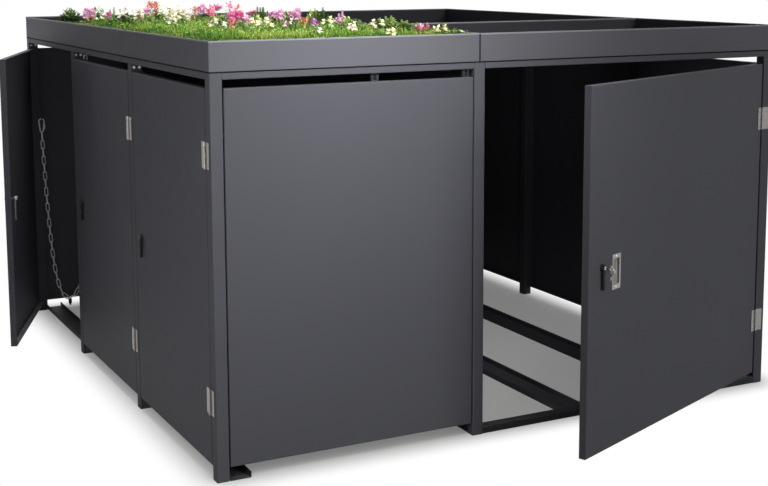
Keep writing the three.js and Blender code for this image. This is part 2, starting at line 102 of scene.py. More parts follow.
def feedNamed(tree, node, **values):  # a space in a socket's name is written as an underscore
    for socketName, value in values.items():
        feed(tree, node.inputs[socketName.replace("_", " ")], value)
    return node.outputs


def fedNode(tree, kind, values, **settings):
    node = addNode(tree, kind, **settings)
    for socket, value in zip(node.inputs, values):
        feed(tree, socket, value)
    return node.outputs


def mathOf(tree, operation, *values, clamp=False):
    return fedNode(tree, "Math", values, operation=operation, use_clamp=clamp)[0]


def vectorOf(tree, operation, *values):
    return fedNode(tree, "VectorMath", values, operation=operation)


def mixShaders(tree, share, first, second):
    return fedNode(tree, "MixShader", (share, first, second))[0]


def mixColours(tree, factor, first, second, blend="MIX"):  # sockets 6 and 7 are the two colours
    node = addNode(tree, "Mix", data_type="RGBA", blend_type=blend)
    for socket, value in zip((node.inputs[0], node.inputs[6], node.inputs[7]), (factor, first, second)):
        feed(tree, socket, value)
    return node.outputs[2]


def noiseOn(tree, scale, detail, stretch=None):
    spot = addNode(tree, "TexCoord").outputs["Object"]
    if stretch:
        spot = feedNamed(tree, addNode(tree, "Mapping"), Vector=spot, Scale=stretch)[0]
    return feedNamed(tree, addNode(tree, "TexNoise"), Vector=spot, Scale=scale, Detail=detail)["Fac"]


def blendOf(tree, first, second, share):  # the share is the second one's
    rest = mathOf(tree, "MULTIPLY", first, 1 - share)
    return mathOf(tree, "ADD", rest, mathOf(tree, "MULTIPLY", second, share), clamp=True)


def swingOf(tree, texture, spread, middle, clamp=False):  # a value that swings about its middle
    return mathOf(tree, "MULTIPLY_ADD", mathOf(tree, "SUBTRACT", texture, 0.5), spread, middle, clamp=clamp)


# Floor, world and lamps

studio = {
    "floorReach": 220.0,
    "floorColour": (0.46, 0.45, 0.435, 1),
    "white": (1, 1, 1, 1),
    "whiteShares": (0.18, 1.0),
    "whiteSpan": (0.0, 0.18),
    "whiteInset": 0.06,
    "ambientColour": (0.93, 0.96, 1.0, 1),
    "ambient": 0.07,
    "lamps": {  # place, aim, side in metres, watts, spread in degrees
        "frontTopLamp": ((0.42, -1.1, 2.15), (0.48, 0, 1.3), 0.8, 8, 70),
        "rightKey": ((3.2, -6.5, 3.5), (1.0, 0, 0.6), 2.8, 262, 180),
        "leftLamp": ((-1.2, -1.1, 1.2), (0, 0.3, 0.7), 0.8, 7.5, 120),
        "rearTrayLamp": ((-0.9, 2.9, 0.9), (0, 2.2, 1.3), 0.7, 1.4, 60),
        "backLamp": ((5.5, 5.0, 2.2), (1.6, 1.6, 0.6), 2.8, 130, 180),
        "bayLamp": ((1.35, 0.3, 1.0), (1.65, 2.33, 0.95), 0.4, 0.6, 90),
        "bedLamp": ((0.45, 1.15, 4.4), (0.45, 1.15, 1.3), 1.8, 24, 45),
    },
}


def addSeen(tree):  # 1 for rays from the camera, a mirror or glass
    path = addNode(tree, "LightPath").outputs
    seen = path["Is Camera Ray"]
    for rayName in ("Is Glossy Ray", "Is Transmission Ray"):
        seen = mathOf(tree, "MAXIMUM", seen, path[rayName])
    return seen


def buildWorld():
    world = bpy.data.worlds.new("studioWorld")
    world.use_nodes = True
    scene.world = world
    tree = world.node_tree
    tree.nodes.clear()
    ambient = fedNode(tree, "Background", (studio["ambientColour"], studio["ambient"]))[0]
    white = fedNode(tree, "Background", (studio["white"],))[0]
    mixed = mixShaders(tree, addSeen(tree), ambient, white)
    feedNamed(tree, addNode(tree, "OutputWorld"), Surface=mixed)


def addDistance(tree):  # from the outline of the trays, on the ground
    low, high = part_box("roof_tray_left")[0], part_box("roof_tray_back_right")[1]
    middle = (low + high) / 2
    half = (high - low) / 2 - Vector((1, 1, 0)) * studio["whiteInset"]
    spot = addNode(tree, "NewGeometry").outputs["Position"]
    away = vectorOf(tree, "ABSOLUTE", vectorOf(tree, "SUBTRACT", spot, (middle.x, middle.y, 0))[0])[0]
    beyond = vectorOf(tree, "SUBTRACT", away, (half.x, half.y, 0))[0]
    return vectorOf(tree, "LENGTH", vectorOf(tree, "MAXIMUM", beyond, (0, 0, 0))[0])["Value"]


def buildFloor():
    reach = studio["floorReach"]
    mesh = bpy.data.meshes.new("floor")
    corners = [(-reach, -reach, 0), (reach, -reach, 0), (reach, reach, 0), (-reach, reach, 0)]
    mesh.from_pydata(corners, [], [(0, 1, 2, 3)])
    floor = bpy.data.objects.new("floor", mesh)
    scene.collection.objects.link(floor)
    material = bpy.data.materials.new("floorPaper")
    material.use_nodes = True
    tree = material.node_tree
    tree.nodes.clear()
    matt = fedNode(tree, "BsdfDiffuse", (studio["floorColour"],))[0]
    # The paper turns to plain white away from the locker
    limits = (addDistance(tree),) + studio["whiteSpan"] + studio["whiteShares"]
    spread = fedNode(tree, "MapRange", limits, interpolation_type="SMOOTHSTEP")["Result"]
    share = mathOf(tree, "MULTIPLY", addSeen(tree), spread)
    plain = fedNode(tree, "Emission", (studio["white"],))[0]
    feedNamed(tree, addNode(tree, "OutputMaterial"), Surface=mixShaders(tree, share, matt, plain))
    mesh.materials.append(material)


def buildLamps():
    for name, (place, aim, size, watts, spread) in studio["lamps"].items():
        data = bpy.data.lights.new(name, "AREA")
        data.shape = "SQUARE"
        data.size = size
        data.energy = watts
        data.spread = math.radians(spread)
        light = bpy.data.objects.new(name, data)
        light.matrix_world = Matrix.Translation(place) @ aimTurn(Vector(aim) - Vector(place))
        scene.collection.objects.link(light)


scene.view_settings.view_transform = "Standard"
buildCamera()
buildWorld()
buildFloor()
buildLamps()
print("camera, floor and lamps are set")

# Shared shader effects. A noise is given as its scale and its detail


def newGroup(name, inputs, outputs):
    group = bpy.data.node_groups.new(name, "ShaderNodeTree")
    for socketName, kind, value in inputs:
        socket = group.interface.new_socket(socketName, in_out="INPUT", socket_type="NodeSocket" + kind)
        socket.default_value = value
    for socketName, kind in outputs:
        group.interface.new_socket(socketName, in_out="OUTPUT", socket_type="NodeSocket" + kind)
    return group, group.nodes.new("NodeGroupInput").outputs, group.nodes.new("NodeGroupOutput").inputs


powder = {
    "broad": (1.7, 2.0),
    "patch": (26.0, 4.0),
    "patchShare": 0.25,
    "grainDetail": 2.0,
    "roughSpread": 0.16,
    "patchHeight": 0.6,
}


def buildPowderCoat():
    group, give, take = newGroup(
        "powderCoat",
        [("Colour", "Color", (0.05, 0.05, 0.06, 1)), ("Shade", "Color", (0.04, 0.04, 0.05, 1)),
         ("Roughness", "Float", 0.5), ("Grain", "Float", 700.0)],
        [("Colour", "Color"), ("Roughness", "Float"), ("Height", "Float")],
    )
    patch = noiseOn(group, *powder["patch"])
    tone = blendOf(group, noiseOn(group, *powder["broad"]), patch, powder["patchShare"])
    feed(group, take["Colour"], mixColours(group, tone, give["Shade"], give["Colour"]))
    feed(group, take["Roughness"], swingOf(group, patch, powder["roughSpread"], give["Roughness"]))
    grain = noiseOn(group, give["Grain"], powder["grainDetail"])
    height = mathOf(group, "ADD", grain, mathOf(group, "MULTIPLY", patch, powder["patchHeight"]))
    feed(group, take["Height"], height)
    return group


wearAndHighlight = {"samples": 6, "breaks": (60.0, 3.0), "breakShare": 1.6}


# Edges lightened where the bevel turns the normal: partly wear, partly a painted edge highlight
def buildEdgeWearAndHighlight():
    group, give, take = newGroup(
        "edgeWearAndHighlight", [("Width", "Float", 0.0012), ("Strength", "Float", 2.5)],
        [("Mask", "Float"), ("Normal", "Vector")],
    )
    rounded = feedNamed(group, addNode(group, "Bevel", samples=wearAndHighlight["samples"]), Radius=give["Width"])[0]
    flat = addNode(group, "NewGeometry").outputs["Normal"]
    away = mathOf(group, "SUBTRACT", 1.0, vectorOf(group, "DOT_PRODUCT", rounded, flat)["Value"])
    wornAndLit = mathOf(group, "MULTIPLY", away, give["Strength"])
    broken = mathOf(group, "MULTIPLY", noiseOn(group, *wearAndHighlight["breaks"]), wearAndHighlight["breakShare"])
    feed(group, take["Mask"], mathOf(group, "MULTIPLY", wornAndLit, broken, clamp=True))
    feed(group, take["Normal"], rounded)
    return group


dust = {"clouds": (9.0, 6.0)}


def buildSettledDust():
    group, give, take = newGroup(
        "settledDust",
        [("Colour", "Color", (0.05, 0.05, 0.06, 1)), ("Dust", "Color", (0.3, 0.28, 0.26, 1)),
         ("Amount", "Float", 0.2)],
        [("Colour", "Color")],
    )
    normal = fedNode(group, "SeparateXYZ", (addNode(group, "NewGeometry").outputs["Normal"],))
    up = mathOf(group, "MAXIMUM", normal["Z"], 0.0)
    cloud = mathOf(group, "MULTIPLY", noiseOn(group, *dust["clouds"]), give["Amount"])
    mask = mathOf(group, "MULTIPLY", up, cloud, clamp=True)
    feed(group, take["Colour"], mixColours(group, mask, give["Colour"], give["Dust"]))
    return group


brush = {
    "lines": (30.0, 5.0),
    "stretch": (60.0, 60.0, 2.0),
    "spots": (140.0, 4.0),
    "spotShare": 0.4,
    "roughSpread": 0.3,
}


def buildBrushedGrain():
    group, give, take = newGroup(
        "brushedGrain",
        [("Colour", "Color", (0.6, 0.6, 0.6, 1)), ("Dark", "Color", (0.4, 0.4, 0.4, 1)),
         ("Roughness", "Float", 0.3)],
        [("Colour", "Color"), ("Roughness", "Float"), ("Height", "Float")],
    )
    lines = noiseOn(group, *brush["lines"], stretch=brush["stretch"])
    tone = blendOf(group, lines, noiseOn(group, *brush["spots"]), brush["spotShare"])
    feed(group, take["Colour"], mixColours(group, tone, give["Dark"], give["Colour"]))
    feed(group, take["Roughness"], swingOf(group, lines, brush["roughSpread"], give["Roughness"]))
    feed(group, take["Height"], lines)
    return group


growth = {"speckDetail": 1.0, "drift": (9.0, 3.0), "driftShare": 0.5}


def buildLeafTone():
    group, give, take = newGroup(
        "leafTone",
        [("Root", "Color", (0.03, 0.08, 0.01, 1)), ("Middle", "Color", (0.12, 0.25, 0.04, 1)),
         ("Tip", "Color", (0.4, 0.5, 0.12, 1)), ("Low", "Float", 1.33), ("High", "Float", 1.4),
         ("Patch", "Float", 260.0)],
        [("Colour", "Color"), ("Height", "Float")],
    )
    spot = fedNode(group, "SeparateXYZ", (addNode(group, "NewGeometry").outputs["Position"],))
    span = mathOf(group, "SUBTRACT", give["High"], give["Low"])
    rise = mathOf(group, "SUBTRACT", spot["Z"], give["Low"])
    level = mathOf(group, "DIVIDE", rise, span, clamp=True)
    speck = noiseOn(group, give["Patch"], growth["speckDetail"])
    drift = mathOf(group, "MULTIPLY", noiseOn(group, *growth["drift"]), growth["driftShare"])
    tipShare = mathOf(group, "MULTIPLY", level, mathOf(group, "ADD", speck, drift))
    lower = mixColours(group, level, give["Root"], give["Middle"])
    feed(group, take["Colour"], mixColours(group, tipShare, lower, give["Tip"]))
    feed(group, take["Height"], speck)
    return group


def buildPaintedInnerShade():  # painted shade: darkens what lies inside a box, seen from above
    group, give, take = newGroup(
        "paintedInnerShade",
        [("Colour", "Color", (0.1, 0.1, 0.11, 1)), ("Tint", "Color", (0.5, 0.5, 0.5, 1)),
         ("Centre", "Vector", (0, 0, 0)), ("Reach", "Vector", (1, 1, 1))],
        [("Colour", "Color")],
    )
    spot = addNode(group, "NewGeometry").outputs["Position"]
    away = vectorOf(group, "ABSOLUTE", vectorOf(group, "SUBTRACT", spot, give["Centre"])[0])[0]
    room = fedNode(group, "SeparateXYZ", (vectorOf(group, "SUBTRACT", give["Reach"], away)[0],))
    inside = mathOf(group, "GREATER_THAN", mathOf(group, "MINIMUM", room["X"], room["Y"]), 0.0)
    feed(group, take["Colour"], mixColours(group, inside, give["Colour"], give["Tint"], blend="MULTIPLY"))
    return group


effects = {
    "powderCoat": buildPowderCoat(),
    "edgeWearAndHighlight": buildEdgeWearAndHighlight(),
    "settledDust": buildSettledDust(),
    "brushedGrain": buildBrushedGrain(),
    "leafTone": buildLeafTone(),
    "paintedInnerShade": buildPaintedInnerShade(),
}
print("shader effects built:", len(effects))

# Materials


def newMaterial(name, **plain):
    material = bpy.data.materials.new(name)
    material.use_nodes = True
    shader = material.node_tree.nodes["Principled BSDF"]
    feedNamed(material.node_tree, shader, **plain)
    return material, material.node_tree, shader


def placeEffect(tree, name, **values):
    return feedNamed(tree, addNode(tree, "Group", node_tree=effects[name]), **values)


def addBump(tree, height, skin, **normal):
    amounts = {"Distance": skin["bump"], "Strength": skin["bumpStrength"]}
    return feedNamed(tree, addNode(tree, "Bump"), Height=height, **amounts, **normal)[0]


def addEdge(tree, skin):  # worn edges with a painted edge highlight, both as a lighter colour, and slightly rounded in the normal
    return placeEffect(tree, "edgeWearAndHighlight", Width=skin["edgeWidth"], Strength=skin["edgeStrength"])


def wornLitCoat(tree, look, skin):  # colour, roughness and normal of a coat, with its edges lightened as wear and as a painted edge highlight
    coat = placeEffect(tree, "powderCoat", Colour=look["colour"], Shade=look["shade"],
                       Roughness=look["roughness"], Grain=skin["grain"])
    edge = addEdge(tree, skin)
    colour = mixColours(tree, edge["Mask"], coat["Colour"], look["edge"])
    return colour, coat["Roughness"], addBump(tree, coat["Height"], skin, Normal=edge["Normal"])


# The edge colours are the lightened edges: wear and a painted edge highlight
paints = {
    "anthracitePaint": {"colour": (0.0770, 0.0785, 0.0890, 1), "shade": (0.0660, 0.0670, 0.0770, 1),
                        "edge": (0.15, 0.15, 0.16, 1), "roughness": 0.58, "dust": 0.10},
    # painted light: the trays take a lighter copy of the anthracite paint, as they are lit brighter
    "trayLitPaint": {"colour": (0.102, 0.102, 0.115, 1), "shade": (0.086, 0.086, 0.098, 1),
                  "edge": (0.22, 0.22, 0.235, 1), "roughness": 0.58, "dust": 0.20},
    # painted highlight: the tray hems in a lighter paint, for the light line along the rims
    "rimHighlightPaint": {"colour": (0.22, 0.22, 0.24, 1), "shade": (0.16, 0.16, 0.175, 1),
                 "edge": (0.32, 0.32, 0.34, 1), "roughness": 0.5, "dust": 0.4},
    "darkFramePaint": {"colour": (0.036, 0.040, 0.043, 1), "shade": (0.026, 0.030, 0.033, 1),
                       "edge": (0.07, 0.075, 0.08, 1), "roughness": 0.5, "dust": 0.25},
}

paintSkin = {
    "gloss": 0.035,
    "grain": 820.0,
    "edgeWidth": 1.4 * mm,
    "edgeStrength": 1.6,
    "bump": 0.12 * mm,
    "bumpStrength": 0.35,
}

# Painted shade: the trays are painted darker inside, where their own walls shade them
paintedTrayShade = {
    "shadeTint": (0.5, 0.5, 0.5, 1),
    "skin": 1 * mm,
    "finishes": {
        "roof_tray_left": "trayPaintLeft",
        "roof_tray_front_right": "trayPaintFrontRight",
        "roof_tray_back_right": "trayPaintBackRight",
    },
}


def buildPaint(name, title=None, tray=None):
    look = paints[name]
    material, tree, shader = newMaterial(title or name, Specular_IOR_Level=paintSkin["gloss"])
    wornAndLit, rough, bump = wornLitCoat(tree, look, paintSkin)
    colour = placeEffect(tree, "settledDust", Colour=wornAndLit, Amount=look["dust"])["Colour"]
    # painted shade: the inside of this tray is darkened
    if tray:
        low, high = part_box(tray)
        reach = (high - low) / 2 - Vector((1, 1, 0)) * paintedTrayShade["skin"]
        colour = placeEffect(tree, "paintedInnerShade", Colour=colour, Tint=paintedTrayShade["shadeTint"],
                             Centre=(low + high) / 2, Reach=reach)["Colour"]
    feedNamed(tree, shader, Base_Color=colour, Roughness=rough, Normal=bump)
    return material


metals = {
    "stainlessSteel": {"colour": (0.33, 0.315, 0.30, 1), "dark": (0.15, 0.143, 0.137, 1), "roughness": 0.32},
    "pullSteel": {"colour": (0.40, 0.38, 0.37, 1), "dark": (0.24, 0.23, 0.225, 1), "roughness": 0.42,
                  "metallic": 0.5},
    "zincPlate": {"colour": (0.56, 0.56, 0.57, 1), "dark": (0.30, 0.30, 0.315, 1), "roughness": 0.28},
    "chainZinc": {"colour": (0.84, 0.84, 0.86, 1), "dark": (0.55, 0.55, 0.57, 1), "roughness": 0.3,
                  "metallic": 0.4},
    "brightZinc": {"colour": (0.82, 0.82, 0.82, 1), "dark": (0.60, 0.60, 0.61, 1), "roughness": 0.2},
    # painted glint: near white and barely metallic, the bolt heads' bright glint is painted into their colour
    "boltZinc": {"colour": (0.96, 0.96, 0.96, 1), "dark": (0.80, 0.80, 0.81, 1), "roughness": 0.35,
                 "metallic": 0.1},
    "darkSteel": {"colour": (0.16, 0.16, 0.165, 1), "dark": (0.08, 0.08, 0.085, 1), "roughness": 0.36},
    "brassKey": {"colour": (0.44, 0.42, 0.385, 1), "dark": (0.23, 0.215, 0.19, 1), "roughness": 0.3},
}

metalSkin = {
    "edgeWidth": 0.5 * mm,
    "edgeStrength": 1.2,
    "edgeGain": 1.25,
    "bump": 0.05 * mm,
    "bumpStrength": 0.3,
}


def buildMetal(name):
    look = metals[name]
    material, tree, shader = newMaterial(name, Metallic=look.get("metallic", 1.0))
    grain = placeEffect(tree, "brushedGrain", Colour=look["colour"], Dark=look["dark"],
                        Roughness=look["roughness"])
    edge = addEdge(tree, metalSkin)
    # metal edges brightened: partly wear, partly a painted edge highlight
    bright = tuple(min(1.0, value * metalSkin["edgeGain"]) for value in look["colour"][:3]) + (1,)
    colour = mixColours(tree, edge["Mask"], grain["Colour"], bright)
    bump = addBump(tree, grain["Height"], metalSkin, Normal=edge["Normal"])
    feedNamed(tree, shader, Base_Color=colour, Roughness=grain["Roughness"], Normal=bump)
    return material


# The edge colours are the lightened edges: wear and a painted edge highlight
blacks = {
    "blackCasting": {"colour": (0.030, 0.029, 0.032, 1), "shade": (0.018, 0.018, 0.020, 1),
                     "edge": (0.08, 0.08, 0.08, 1), "roughness": 0.36, "gloss": 0.04},
    # painted highlight: the lever's ribs in a lighter copy of the black casting
    "ribCasting": {"colour": (0.10, 0.10, 0.102, 1), "shade": (0.065, 0.065, 0.067, 1),
                   "edge": (0.14, 0.14, 0.14, 1), "roughness": 0.36, "gloss": 0.04},
    # near-black rubber, used as painted shadow in gaps and slots
    "sealRubber": {"colour": (0.010, 0.010, 0.011, 1), "shade": (0.005, 0.005, 0.006, 1),
                   "edge": (0.02, 0.02, 0.02, 1), "roughness": 0.8, "gloss": 0.03},
}

blackSkin = {
    "grain": 1600.0,
    "edgeWidth": 0.6 * mm,
    "edgeStrength": 1.4,
    "bump": 0.08 * mm,
    "bumpStrength": 0.3,
}


def buildBlack(name):
    look = blacks[name]
    material, tree, shader = newMaterial(name, Specular_IOR_Level=look["gloss"])
    colour, rough, bump = wornLitCoat(tree, look, blackSkin)
    feedNamed(tree, shader, Base_Color=colour, Roughness=rough, Normal=bump)
    return material


def softMaterial(name, skin):
    return newMaterial(name, Roughness=skin["roughness"], Specular_IOR_Level=skin["gloss"],
                       Subsurface_Weight=skin["through"], Subsurface_Scale=skin["throughReach"])


plants = {
    "freshBlade": {"root": (0.03, 0.08, 0.008, 1), "middle": (0.17, 0.39, 0.03, 1),
                   "tip": (0.47, 0.66, 0.09, 1), "low": 1.335, "high": 1.380, "patch": 240.0},
    "paleBlade": {"root": (0.09, 0.15, 0.015, 1), "middle": (0.48, 0.60, 0.07, 1),
                  "tip": (0.86, 0.88, 0.26, 1), "low": 1.335, "high": 1.375, "patch": 240.0},
    "deepBlade": {"root": (0.012, 0.045, 0.006, 1), "middle": (0.055, 0.18, 0.02, 1),
                  "tip": (0.18, 0.38, 0.05, 1), "low": 1.335, "high": 1.385, "patch": 240.0},
    "turfMat": {"root": (0.02, 0.035, 0.01, 1), "middle": (0.06, 0.12, 0.02, 1),
                "tip": (0.14, 0.2, 0.05, 1), "low": 1.31, "high": 1.37, "patch": 120.0},
    "darkLeaf": {"root": (0.012, 0.035, 0.008, 1), "middle": (0.04, 0.12, 0.025, 1),
                 "tip": (0.20, 0.36, 0.07, 1), "low": 1.33, "high": 1.41, "patch": 150.0},
    "paleLeaf": {"root": (0.07, 0.16, 0.03, 1), "middle": (0.25, 0.42, 0.09, 1),
                 "tip": (0.62, 0.72, 0.30, 1), "low": 1.33, "high": 1.40, "patch": 150.0},
}

leafSkin = {
    "roughness": 0.6,
    "gloss": 0.15,
    "through": 0.15,
    "throughReach": 4 * mm,
    "bump": 0.6 * mm,
    "bumpStrength": 0.3,
}


def buildPlantMaterial(name):
    look = plants[name]
    material, tree, shader = softMaterial(name, leafSkin)
    tone = placeEffect(tree, "leafTone", Root=look["root"], Middle=look["middle"], Tip=look["tip"],
                       Low=look["low"], High=look["high"], Patch=look["patch"])
    feedNamed(tree, shader, Base_Color=tone["Colour"], Normal=addBump(tree, tone["Height"], leafSkin))
    return material


petals = {
    "pinkPetal": {"deep": (0.84, 0.12, 0.38, 1), "pale": (1.0, 0.50, 0.76, 1)},
    "palePinkPetal": {"deep": (0.84, 0.36, 0.64, 1), "pale": (1.0, 0.78, 0.92, 1)},
    "purplePetal": {"deep": (0.50, 0.16, 0.46, 1), "pale": (0.86, 0.52, 0.84, 1)},
    "rosePetal": {"deep": (0.66, 0.10, 0.17, 1), "pale": (0.98, 0.44, 0.50, 1)},
    "coralPetal": {"deep": (0.56, 0.15, 0.08, 1), "pale": (0.92, 0.50, 0.34, 1)},
    "creamPetal": {"deep": (0.66, 0.57, 0.40, 1), "pale": (0.98, 0.92, 0.76, 1)},
    "limePetal": {"deep": (0.62, 0.66, 0.28, 1), "pale": (0.94, 0.95, 0.66, 1)},
    "whitePetal": {"deep": (0.76, 0.75, 0.68, 1), "pale": (0.98, 0.97, 0.93, 1)},
    "yellowHeart": {"deep": (0.45, 0.26, 0.03, 1), "pale": (0.82, 0.60, 0.12, 1)},
}

petalSkin = {
    "roughness": 0.6,
    "gloss": 0.15,
    "through": 0.2,
    "throughReach": 3 * mm,
    "speck": (130.0, 2.0),
    "speckSpread": 2.4,
    "veins": (700.0, 2.0),
    "bump": 0.4 * mm,
    "bumpStrength": 0.25,
}


def buildPetalMaterial(name):
    look = petals[name]
    material, tree, shader = softMaterial(name, petalSkin)
    factor = swingOf(tree, noiseOn(tree, *petalSkin["speck"]), petalSkin["speckSpread"], 0.5, clamp=True)
    bump = addBump(tree, noiseOn(tree, *petalSkin["veins"]), petalSkin)
    feedNamed(tree, shader, Base_Color=mixColours(tree, factor, look["deep"], look["pale"]), Normal=bump)
    return material


materials = {name: buildPaint(name) for name in paints if name != "trayLitPaint"}
for tray, finish in paintedTrayShade["finishes"].items():
    materials[finish] = buildPaint("trayLitPaint", finish, tray)
families = (
    (buildMetal, metals),
    (buildBlack, blacks),
    (buildPlantMaterial, plants),
    (buildPetalMaterial, petals),
)
for build, looks in families:
    materials.update({name: build(name) for name in looks})
print("materials built:", len(materials))

# Finishes of the carried-over pieces


def finishOf(nodeName):
    if nodeName.startswith(("base_", "threshold", "roof_bearer")):
        return "darkFramePaint"
    if nodeName.endswith("_cam"):
        return "zincPlate"
    return paintedTrayShade["finishes"].get(nodeName, "anthracitePaint")


def dressNodes():
    for nodeName, piece in nodes.items():
        piece.data.materials.clear()
        piece.data.materials.append(materials[finishOf(nodeName)])


dressNodes()
print("carried-over pieces dressed")

# Mesh helpers, all in metres


def turnsOf(count):
    return [2 * math.pi * i / count for i in range(count)]


def addLoops(bm, rings):
    return [[bm.verts.new(point) for point in ring] for ring in rings]


def joinLoops(bm, lower, upper):
    for i in range(len(lower)):
        j = (i + 1) % len(lower)
        bm.faces.new((lower[i], lower[j], upper[j], upper[i]))


def addLoft(bm, rings):
    loops = addLoops(bm, rings)
    for lower, upper in zip(loops, loops[1:]):
        joinLoops(bm, lower, upper)
    bm.faces.new(loops[0][::-1])
    bm.faces.new(loops[-1])


def addClosedSweep(bm, rings):
    loops = addLoops(bm, rings)
    for lower, upper in zip(loops, loops[1:] + loops[:1]):
        joinLoops(bm, lower, upper)


def addLathe(bm, profile, sides, matrix):
    rings = []
    for radius, height in profile:
        rings.append([matrix @ Vector((radius * math.cos(turn), radius * math.sin(turn), height))
                      for turn in turnsOf(sides)])
    addLoft(bm, rings)


def addBlock(bm, low, high, matrix=Matrix()):
    x0, y0, z0 = low
    x1, y1, z1 = high
    outline = [(x0, y0), (x1, y0), (x1, y1), (x0, y1)]
    addLoft(bm, [[matrix @ Vector((x, y, z)) for x, y in outline] for z in (z0, z1)])


def addBar(bm, width, depths, levels, matrix=Matrix()):  # a block that is centred across
    addBlock(bm, (-width / 2, depths[0], levels[0]), (width / 2, depths[1], levels[1]), matrix)


def addWire(bm, path, wire, sides, matrix):  # round wire along a closed path in the XZ plane
    across = Vector((0, 1, 0))
    rings = []
    for i, spot in enumerate(path):
        ahead = (path[(i + 1) % len(path)] - path[i - 1]).normalized()
        out = ahead.cross(across)
        rings.append([matrix @ (spot + (across * math.cos(turn) + out * math.sin(turn)) * wire)
                      for turn in turnsOf(sides)])
    addClosedSweep(bm, rings)


rounding = {"segments": 2, "angle": 35, "smoothAngle": 40.0}


def makePiece(name, bm, finish, body, bevel=0.0, smoothAngle=rounding["smoothAngle"]):
    bmesh.ops.recalc_face_normals(bm, faces=bm.faces)
    mesh = bpy.data.meshes.new(name)
    bm.to_mesh(mesh)
    bm.free()
    piece = bpy.data.objects.new(name, mesh)
    scene.collection.objects.link(piece)
    if bevel:
        modifier = piece.modifiers.new("bevel", "BEVEL")
        modifier.width = bevel
        modifier.segments = rounding["segments"]
        modifier.limit_method = "ANGLE"
        modifier.angle_limit = math.radians(rounding["angle"])
        evaluated = piece.evaluated_get(bpy.context.evaluated_depsgraph_get())
        mesh = bpy.data.meshes.new_from_object(evaluated)
        piece.modifiers.clear()
        piece.data = mesh
    for polygon in mesh.polygons:
        polygon.use_smooth = True
    mesh.set_sharp_from_angle(angle=math.radians(smoothAngle))
    mesh.materials.clear()
    mesh.materials.append(materials[finish])
    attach(piece, body)
    return piece


# Each door's own frame: the pin at the origin, X along the door's face and +Y inwards.
# Way is the side of the pin on which the door hangs: 1 for +X, -1 for -X

doorNames = ["bike_door", "bin_door_1", "bin_door_2", "bin_door_3"]
outTurn = Matrix.Rotation(math.radians(90), 4, "X")  # Z of a lathe to -Y, out of the door
inTurn = Matrix.Rotation(math.radians(-90), 4, "X")  # Z of a lathe to +Y, into the door


def doorFrame(door):
    swing = joints[door + "_swing"]
    turn = joints[door + "_lever_turn"]
    way = -round(swing["axis"][2])
    inward = Vector(turn["axis"]) * -way
    along = Vector((inward.y, -inward.x, 0))
    pin = Vector(swing["pos_m"])
    matrix = Matrix((
        (along.x, inward.x, 0, pin.x),
        (along.y, inward.y, 0, pin.y),
        (0, 0, 1, 0),
        (0, 0, 0, 1),
    ))
    return matrix, way


def lockFrame(door):
    matrix, _ = doorFrame(door)
    spindle = Vector(joints[door + "_lever_turn"]["pos_m"])
    return Matrix.Translation(spindle) @ matrix.to_3x3().to_4x4()


def closedFrame(door):  # the door's frame with the door closed, for what stays on the post
    matrix, _ = doorFrame(door)
    joint = joints[door + "_swing"]
    back = math.radians(joint["range_deg"][0]) * round(joint["axis"][2])
    pin = matrix.to_translation()
    return Matrix.Translation(pin) @ Matrix.Rotation(back, 4, "Z") @ matrix.to_3x3().to_4x4()


# Screws, with a socket in the head

screwHead = {  # radius and height, both as shares of the screw's radius
    "profile": ((1, 0), (1, 0.12), (0.86, 0.3), (0.6, 0.4), (0.42, 0.42), (0.378, 0.05), (0.05, 0.02)),
    "sides": 16,
}


def addScrew(bm, matrix, radius):
    profile = [(radius * across, radius * height) for across, height in screwHead["profile"]]
    addLathe(bm, profile, screwHead["sides"], matrix)


# Hinges

hinge = {
    "face": 4.3 * mm,  # from the pin's axis in to the face of the post and the closed door
    "fit": 0.3 * mm,
    "sink": 0.1 * mm,
    "leafWidth": 30 * mm,
    "leafThickness": 2.0 * mm,
    "leafCorner": 2.5 * mm,
    "cornerSteps": 3,
    "leafEdge": 0.25 * mm,
    "height": 80 * mm,
    "knuckles": 5,
    "knuckleRadius": 4.0 * mm,
    "knuckleGap": 0.35 * mm,
    "knuckleFree": 0.35 * mm,
    "knuckleRound": (0.88, 0.1),  # radius and height of the rounding, shares of the radius
    "knuckleSides": 24,
    "webReach": 1.5 * mm,
    "webFront": 0.02 * mm,
    "webBack": 0.35 * mm,
    "cover": 0.18 * mm,  # over the solid's own leaf on the door side
    "pinRadius": 3.0 * mm,
    "pinHead": 1.5 * mm,
    "pinStep": 0.8 * mm,
    "pinTop": 0.7,
    "pinSides": 20,
    "screwPlace": 19 * mm,
    "screwRows": (-27 * mm, 0.0, 27 * mm),
    "screwRadius": 4.0 * mm,
    "screwDepths": {"frame": 2.25 * mm, "door": 2.4 * mm},
}


def addPlate(bm, low, high, matrix):  # a leaf's plate, with its two outer corners rounded
    plate = bmesh.new()
    addBlock(plate, low, high)
    outer = max(abs(low[0]), abs(high[0]))
    nearly = 0.01 * mm
    corners = []
    for edge in plate.edges:
        first, last = (vert.co for vert in edge.verts)
        if abs(first.z - last.z) < nearly and min(abs(first.x), abs(last.x)) > outer - nearly:
            corners.append(edge)
    bmesh.ops.bevel(plate, geom=corners, offset=hinge["leafCorner"], segments=hinge["cornerSteps"],
                    profile=0.5, affect="EDGES")
    bmesh.ops.bevel(plate, geom=plate.edges[:], offset=hinge["leafEdge"], segments=1, profile=0.5,
                    affect="EDGES")
    plate.transform(matrix)
    holder = bpy.data.meshes.new("leafPlate")
    plate.to_mesh(holder)
    plate.free()
    bm.from_mesh(holder)
    bpy.data.meshes.remove(holder)


